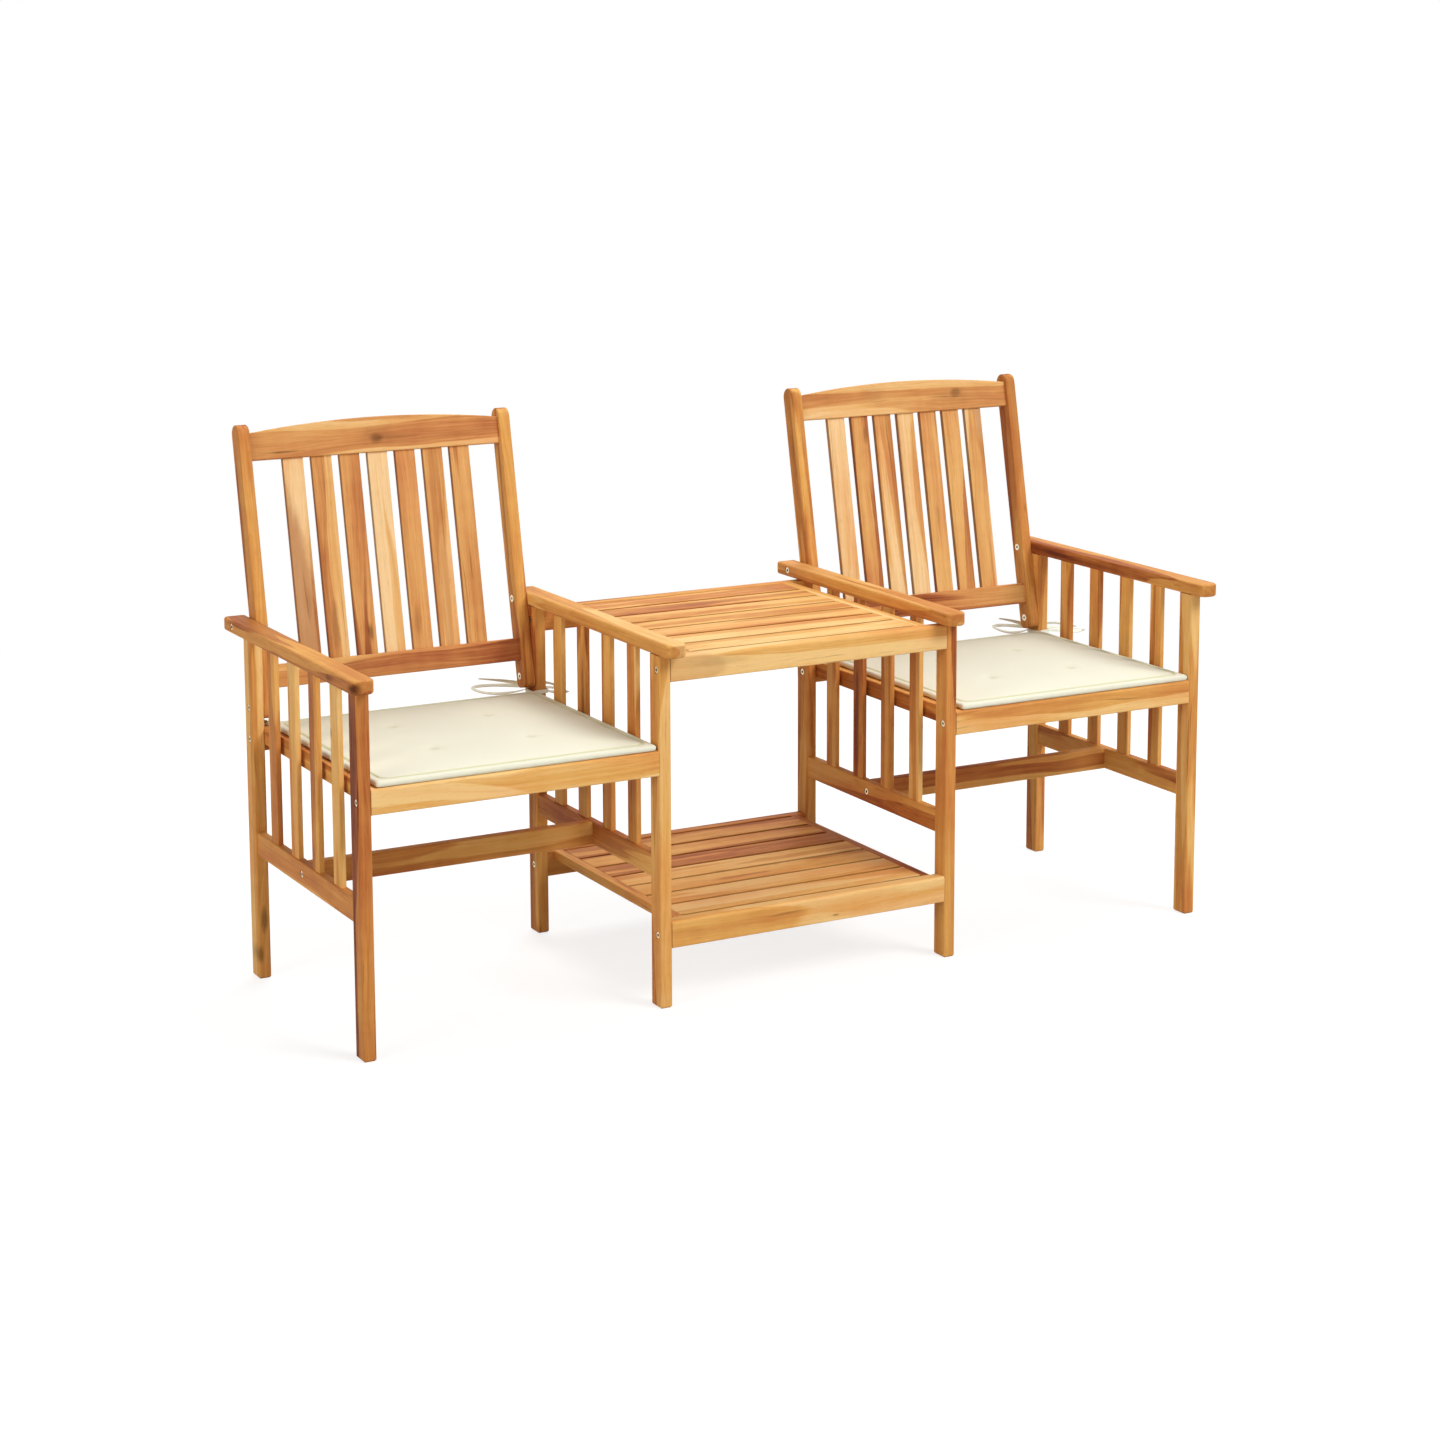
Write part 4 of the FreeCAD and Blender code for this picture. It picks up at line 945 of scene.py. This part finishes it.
def tie_routes(corner, reach, spread):
    """Routes of a tie from its knot, in millimetres: x runs to the chair's middle.

    corner is where the pad's corner lies, reach how far the bow goes to the chair's middle
    and spread how far it goes the other way; without spread that loop hangs down.
    """
    sewn = (corner + 1.6, -49.6, 0.3)
    near = reach / 100
    far = spread / 100
    under_stile = [sewn, (corner + 0.6, -44.3, 0), (18, -33, 0), (17, -14, 0),
                   (11, -2.5, 0), (2, 0, 0)]
    near_loop = [(3, 1, -2), (30 * near, 4, -6), (62 * near, 7, -7), (88 * near, 12, -3),
                 (101 * near, 20, 1), (102 * near, 31, 3), (89 * near, 38, 3.5),
                 (61 * near, 33, 3.5), (31 * near, 20, 2.5), (3, 3, 2)]
    near_tail = [(1, 2, 4), (34 * near, 10, 11), (66 * near, 14, 17), (95 * near, 17, 21)]
    if spread:
        second = [sewn, (corner - 3.5, -44.3, 0.5), (-2, -44, 0.6), (-12, -42.5, 0.5), (-15.5, -34, 0.2),
                  (-15.2, -20, 0), (-15.5, -7, 0), (-10.5, 0.5, 0), (-2, 0, 0)]
        far_loop = [(-3, 1, -1), (-30 * far, 5, -3), (-62 * far, 9, -8), (-88 * far, 14, -15),
                    (-100 * far, 21, -21), (-101 * far, 31, -25), (-89 * far, 38, -26),
                    (-61 * far, 33, -18), (-31 * far, 20, -11), (-3, 3, -6)]
        far_tail = [(-2, 3, 3), (-32 * far, 12, 4), (-60 * far, 17, -2), (-84 * far, 20, -12)]
    else:
        second = [sewn, (corner + 2, -43.5, 0.8), (36, -36, 4), (36, -20, 7), (35, -6, 8), (27, 3, 7),
                  (16, 5, 4), (7, 3, 2), (-1.5, 0.7, 0.4)]
        far_loop = [(-2, 1, -3), (1, 5, -22), (4, 8, -44), (9, 11, -60), (15, 15, -67), (21, 21, -62),
                    (22, 23, -48), (17, 18, -24), (3, 5, -3)]
        far_tail = [(-1, 3, 3), (3, 12, 1), (8, 17, -16), (9, 18, -42)]
    return under_stile + near_loop + near_tail, second + far_loop + far_tail


def spline_points(name, points):
    """Points along the smooth spline whose control points are given."""
    curve = bpy.data.curves.new(name, "CURVE")
    curve.dimensions = "3D"
    curve.resolution_u = SPLINE_STEPS
    spline = curve.splines.new("NURBS")
    spline.points.add(len(points) - 1)
    spline.points.foreach_set("co", np.column_stack([points, np.ones(len(points))]).ravel())
    spline.order_u = SPLINE_ORDER
    spline.use_endpoint_u = True
    holder = bpy.data.objects.new(name, curve)
    line = mesh_points(bpy.data.meshes.new_from_object(holder))
    bpy.data.objects.remove(holder)
    return line


def unit(vectors):
    """Vectors of length 1."""
    return vectors / np.linalg.norm(vectors, axis=-1, keepdims=True)


def make_tape(name, line, facing):
    """Flat tape: a rounded strip section carried along a line.

    facing holds the directions of the tape's width at even steps along the line, and
    between them it turns smoothly; the section is a flattened superellipse.
    """
    ahead = unit(np.gradient(line, axis=0))
    steps = np.linspace(0, 1, len(facing))
    share = np.linspace(0, 1, len(line))
    facing = np.array(facing, dtype=float)
    across = np.stack([np.interp(share, steps, facing[:, axis]) for axis in range(3)], axis=-1)
    across = unit(across - (across * ahead).sum(axis=1, keepdims=True) * ahead)
    upward = np.cross(ahead, across)
    turn = np.linspace(0, 2 * math.pi, TAPE_SIDES + 1)[:-1]
    wide = TAPE_WIDTH / 2 * np.sign(np.cos(turn)) * np.abs(np.cos(turn)) ** TAPE_SQUARENESS
    high = TAPE_THICK / 2 * np.sign(np.sin(turn)) * np.abs(np.sin(turn)) ** TAPE_SQUARENESS
    rings = line[:, None] + across[:, None] * wide[None, :, None] + upward[:, None] * high[None, :, None]
    index = np.arange(rings.shape[0] * rings.shape[1]).reshape(rings.shape[:2])
    beside = np.roll(index, -1, axis=1)
    quads = np.stack([index[:-1], beside[:-1], beside[1:], index[1:]], axis=-1).reshape(-1, 4)
    mesh = bpy.data.meshes.new(name)
    ends = [index[0][::-1].tolist(), index[-1].tolist()]
    mesh.from_pydata(rings.reshape(-1, 3).tolist(), [], quads.tolist() + ends)
    travelled = np.concatenate([[0], np.cumsum(np.linalg.norm(np.diff(line, axis=0), axis=1))])
    add_uv(mesh, "tape", np.repeat(travelled, TAPE_SIDES), np.tile(wide, len(line)))
    smooth(mesh)
    return add_object(name, mesh)


def make_knot(name, centre):
    """Knot of a bow: a squashed ball whose radius swells and dips as wound tape does.

    The swell is a power of a wave that runs from pole to pole and slants round the ball.
    """
    polar = np.linspace(0, math.pi, TIE_KNOT_RINGS)[:, None]
    turn = np.linspace(0, 2 * math.pi, TIE_KNOT_SPOKES + 1)[None, :]
    folds = np.abs(np.cos(polar * TIE_KNOT_WRAPS + TIE_KNOT_SLANT * np.sin(turn))) ** TIE_KNOT_CREASE
    radius = TIE_KNOT_RADIUS * (TIE_KNOT_CORE + TIE_KNOT_SWELL * folds * np.sin(polar))
    shape = np.stack([radius * np.cos(polar) * np.ones_like(turn),
                      radius * TIE_KNOT_DEEP * np.sin(polar) * np.cos(turn),
                      radius * TIE_KNOT_HIGH * np.sin(polar) * np.sin(turn)], axis=-1)
    mesh = join_grids(name, [shape + centre])
    smooth(mesh)
    return add_object(name, mesh)


TAPE = paint(247, 252, 238)
TAPE_RIB = paint(238, 241, 222)
TAPE_EDGE = paint(214, 208, 184)
RIB_PITCH = 1.1 * MM
EDGE_BAND = (2.5 * MM, 3.3 * MM)
TAPE_CLOUDS = (70.0, 70.0, 70.0)
TAPE_RELIEF = (0.4, 0.2 * MM)


def tape_cloth():
    """Cream woven tape: a fine rib across it and darker woven edges."""
    cloth = Finish(bpy.data.materials.new("tape_cloth"))
    run, side = cloth.uv_place("tape")
    ribs = run.wave(RIB_PITCH) * 0.5 + 0.5
    edge = side.math("ABSOLUTE").step(*EDGE_BAND)
    clouds = cloth.clouds(TAPE_CLOUDS)
    colour = cloth.blend(clouds * 0.5 + ribs * 0.2, TAPE, TAPE_RIB)
    return cloth.principled({
        "Base Color": cloth.blend(edge * 0.3, colour, TAPE_EDGE),
        "Roughness": 0.85 + ribs * 0.08,
        "Specular IOR Level": 0.25,
    }, ribs * 0.6 + edge * 0.6, *TAPE_RELIEF)


UP = (0, 0, 1)
# Directions of a tape's width, at even steps from its sewn end to its tail
TAPE_FACING = {
    "near": [UP, UP, UP, (0, -0.8, 0.4), (0, -0.87, -0.4), (0.7, -0.5, -0.2), (0.9, 0.4, 0.2),
             (0, 0.87, 0.5), (0, 0.5, 0.8), (0, -0.3, 0.9), (0, -0.8, 0.3)],
    "far": [UP, UP, UP, UP, (0, -0.6, 0.7), (0, -0.87, -0.3), (-0.4, -0.8, -0.4), (-0.9, 0.3, 0.2),
            (0, 0.87, 0.5), (0, 0.5, 0.8), (0, -0.5, 0.7), (0, -0.8, 0.3)],
    "hanging": [UP, UP, UP, UP, (0.6, -0.3, 0.6), (1, -0.5, 0), (1, -0.5, 0), (1, -0.5, 0),
                (1, -0.5, 0), (0.6, -0.3, 0.6), UP, (0.5, -0.5, 0.6), (1, -0.5, 0)],
}
# Each tie's chair, the side of it that the tie is on, and its bow's reach and spread in millimetres
TIES = {
    "left_pad_outer_tie": ("left", -1, 50, 0),
    "left_pad_inner_tie": ("left", 1, 94, 80),
    "right_pad_inner_tie": ("right", -1, 50, 0),
    "right_pad_outer_tie": ("right", 1, 63, 139),
}
tape_finish = tape_cloth()
for node, (chair, side, reach, spread) in TIES.items():
    place = "outer" if "outer" in node else "inner"
    leg_low, leg_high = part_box(f"{chair}_chair_{place}_rear_leg")
    pad_low, pad_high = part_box(f"{chair}_seat_pad")
    leg_centre = (leg_low[0] + leg_high[0]) / 2
    knot_place = np.array([leg_centre, leg_high[1] + TIE_BEHIND_LEG, TIE_HEIGHT])
    corner = abs(leg_centre - (pad_low[0] if side < 0 else pad_high[0])) / MM
    mirror = np.array([-side, 1, 1])
    knot = make_knot(f"{node}_knot", knot_place)
    knot.data.materials.append(tape_finish)
    knot.data.uv_layers.new(name="tape")
    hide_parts(node)
    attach(knot, "bench")
    routes = zip(("near", "far"), tie_routes(corner, reach, spread))
    for hand, route in routes:
        points = np.array(route) * MM * mirror + knot_place
        line = spline_points(f"{node}_{hand}_line", points)
        style = hand if hand == "near" or spread else "hanging"
        tape = make_tape(f"{node}_{hand}_tape", line, np.array(TAPE_FACING[style]) * mirror)
        tape.data.materials.append(tape_finish)
        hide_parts(node)
        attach(tape, "bench")
        [knot] if hand == "near" else []


# Stage: pale floor, soft light and the camera

FLOOR_HALF = 40.0
FLOOR_NEAR = 1.4
FLOOR_FAR = 3.0
FLOOR_MATT = (0.28, 0.28, 0.28, 1)
FLOOR_LIFT = 0.80
FLOOR_BOUNCE = (0.55, 0.54, 0.52, 1)
WHITE = (1, 1, 1, 1)
SKY = (1.0, 0.99, 0.97, 1)
SKY_TURN = (-0.4, 0.5)
FRONT_LIGHT = 0.46
REAR_LIGHT = 0.22
# Place, aim, size, power and colour of each lamp
LAMPS = {
    "key": ((4.0, -6.6, 7.2), (0, 0, 0.45), 4.2, 640, (1.0, 0.985, 0.96)),
    "side": ((-6.5, -2.4, 2.6), (0, 0, 0.4), 3.0, 150, (1.0, 0.91, 0.72)),
    "rear": ((1.6, 3.6, 6.4), (0, 0, 0.4), 3.5, 270, (1.0, 1.0, 1.0)),
}
CAMERA_PLACE = (-2.3163, -4.2333, 1.5149)
CAMERA_VIEW = (0.48836, 0.85856, -0.15611)
CAMERA_SENSOR = 36.0
CAMERA_LENS = 73.0
CAMERA_SHIFT = (-0.04, -0.15)
CAMERA_REACH = 200.0


def seen_rays(stage):
    """1 for what the camera sees, straight or by a reflection or through glass."""
    rays = stage.node("ShaderNodeLightPath")
    seen = Scalar(stage, rays.outputs["Is Camera Ray"]).math("MAXIMUM", rays.outputs["Is Glossy Ray"])
    return seen.math("MAXIMUM", rays.outputs["Is Transmission Ray"])


def mix_shaders(stage, share, first, second):
    """Mix of two shader nodes."""
    return stage.node("ShaderNodeMixShader", None, {0: share, 1: first.outputs[0], 2: second.outputs[0]})


def stage_finish():
    """White floor that keeps shadows near the object and is plain white further off."""
    floor = Finish(bpy.data.materials.new("stage_floor"))
    x, y = floor.split(floor.object_place())[:2]
    away = (x * x + y * y).math("SQRT").step(FLOOR_NEAR, FLOOR_FAR)
    matt = floor.node("ShaderNodeBsdfDiffuse", None, {"Color": FLOOR_MATT})
    glow = floor.node("ShaderNodeEmission", None, {"Color": WHITE, "Strength": 1.0})
    bounce = floor.node("ShaderNodeBsdfDiffuse", None, {"Color": FLOOR_BOUNCE})
    lift = floor.node("ShaderNodeEmission", None, {"Color": WHITE, "Strength": FLOOR_LIFT})
    lit = floor.node("ShaderNodeAddShader", None, {0: matt.outputs[0], 1: lift.outputs[0]})
    both = mix_shaders(floor, seen_rays(floor), bounce, mix_shaders(floor, away, lit, glow))
    floor.node("ShaderNodeOutputMaterial", None, {"Surface": both.outputs[0]})
    return floor.owner


def make_floor():
    """Large square on the ground."""
    corners = [(-1, -1), (1, -1), (1, 1), (-1, 1)]
    mesh = bpy.data.meshes.new("floor")
    mesh.from_pydata([(x * FLOOR_HALF, y * FLOOR_HALF, 0) for x, y in corners], [], [(0, 1, 2, 3)])
    mesh.materials.append(stage_finish())
    add_object("floor", mesh)


def make_world():
    """Pale light, stronger from the front, and plain white where the camera sees past the floor."""
    bpy.context.scene.world = bpy.data.worlds.new("studio")
    studio = Finish(bpy.context.scene.world)
    depth = studio.split(studio.node("ShaderNodeTexCoord").outputs["Generated"])[1]
    strength = FRONT_LIGHT + depth.step(*SKY_TURN) * (REAR_LIGHT - FRONT_LIGHT)
    soft = studio.node("ShaderNodeBackground", None, {"Color": SKY, "Strength": strength})
    plain = studio.node("ShaderNodeBackground", None, {"Color": WHITE, "Strength": 1.0})
    both = mix_shaders(studio, seen_rays(studio), soft, plain)
    studio.node("ShaderNodeOutputWorld", None, {"Surface": both.outputs[0]})


def point_at(piece, place, direction):
    """Puts a lamp or the camera at a place, turned in a direction."""
    piece.location = place
    piece.rotation_euler = direction.to_track_quat("-Z", "Y").to_euler()


def make_lamp(name, place, aim, size, power, colour):
    """Square soft lamp that points at a place."""
    lamp = bpy.data.lights.new(name, "AREA")
    lamp.size = size
    lamp.energy = power
    lamp.color = colour
    point_at(add_object(name, lamp), place, Vector(aim) - Vector(place))


def make_camera():
    """The photograph's camera."""
    camera = bpy.data.cameras.new("camera")
    camera.sensor_width = CAMERA_SENSOR
    camera.lens = CAMERA_LENS
    camera.shift_x, camera.shift_y = CAMERA_SHIFT
    camera.clip_end = CAMERA_REACH
    piece = add_object("camera", camera)
    point_at(piece, CAMERA_PLACE, Vector(CAMERA_VIEW))
    bpy.context.scene.camera = piece


make_floor()
make_world()
for name, lamp in LAMPS.items():
    make_lamp(name, *lamp)
make_camera()
bpy.context.scene.view_settings.view_transform = "Standard"
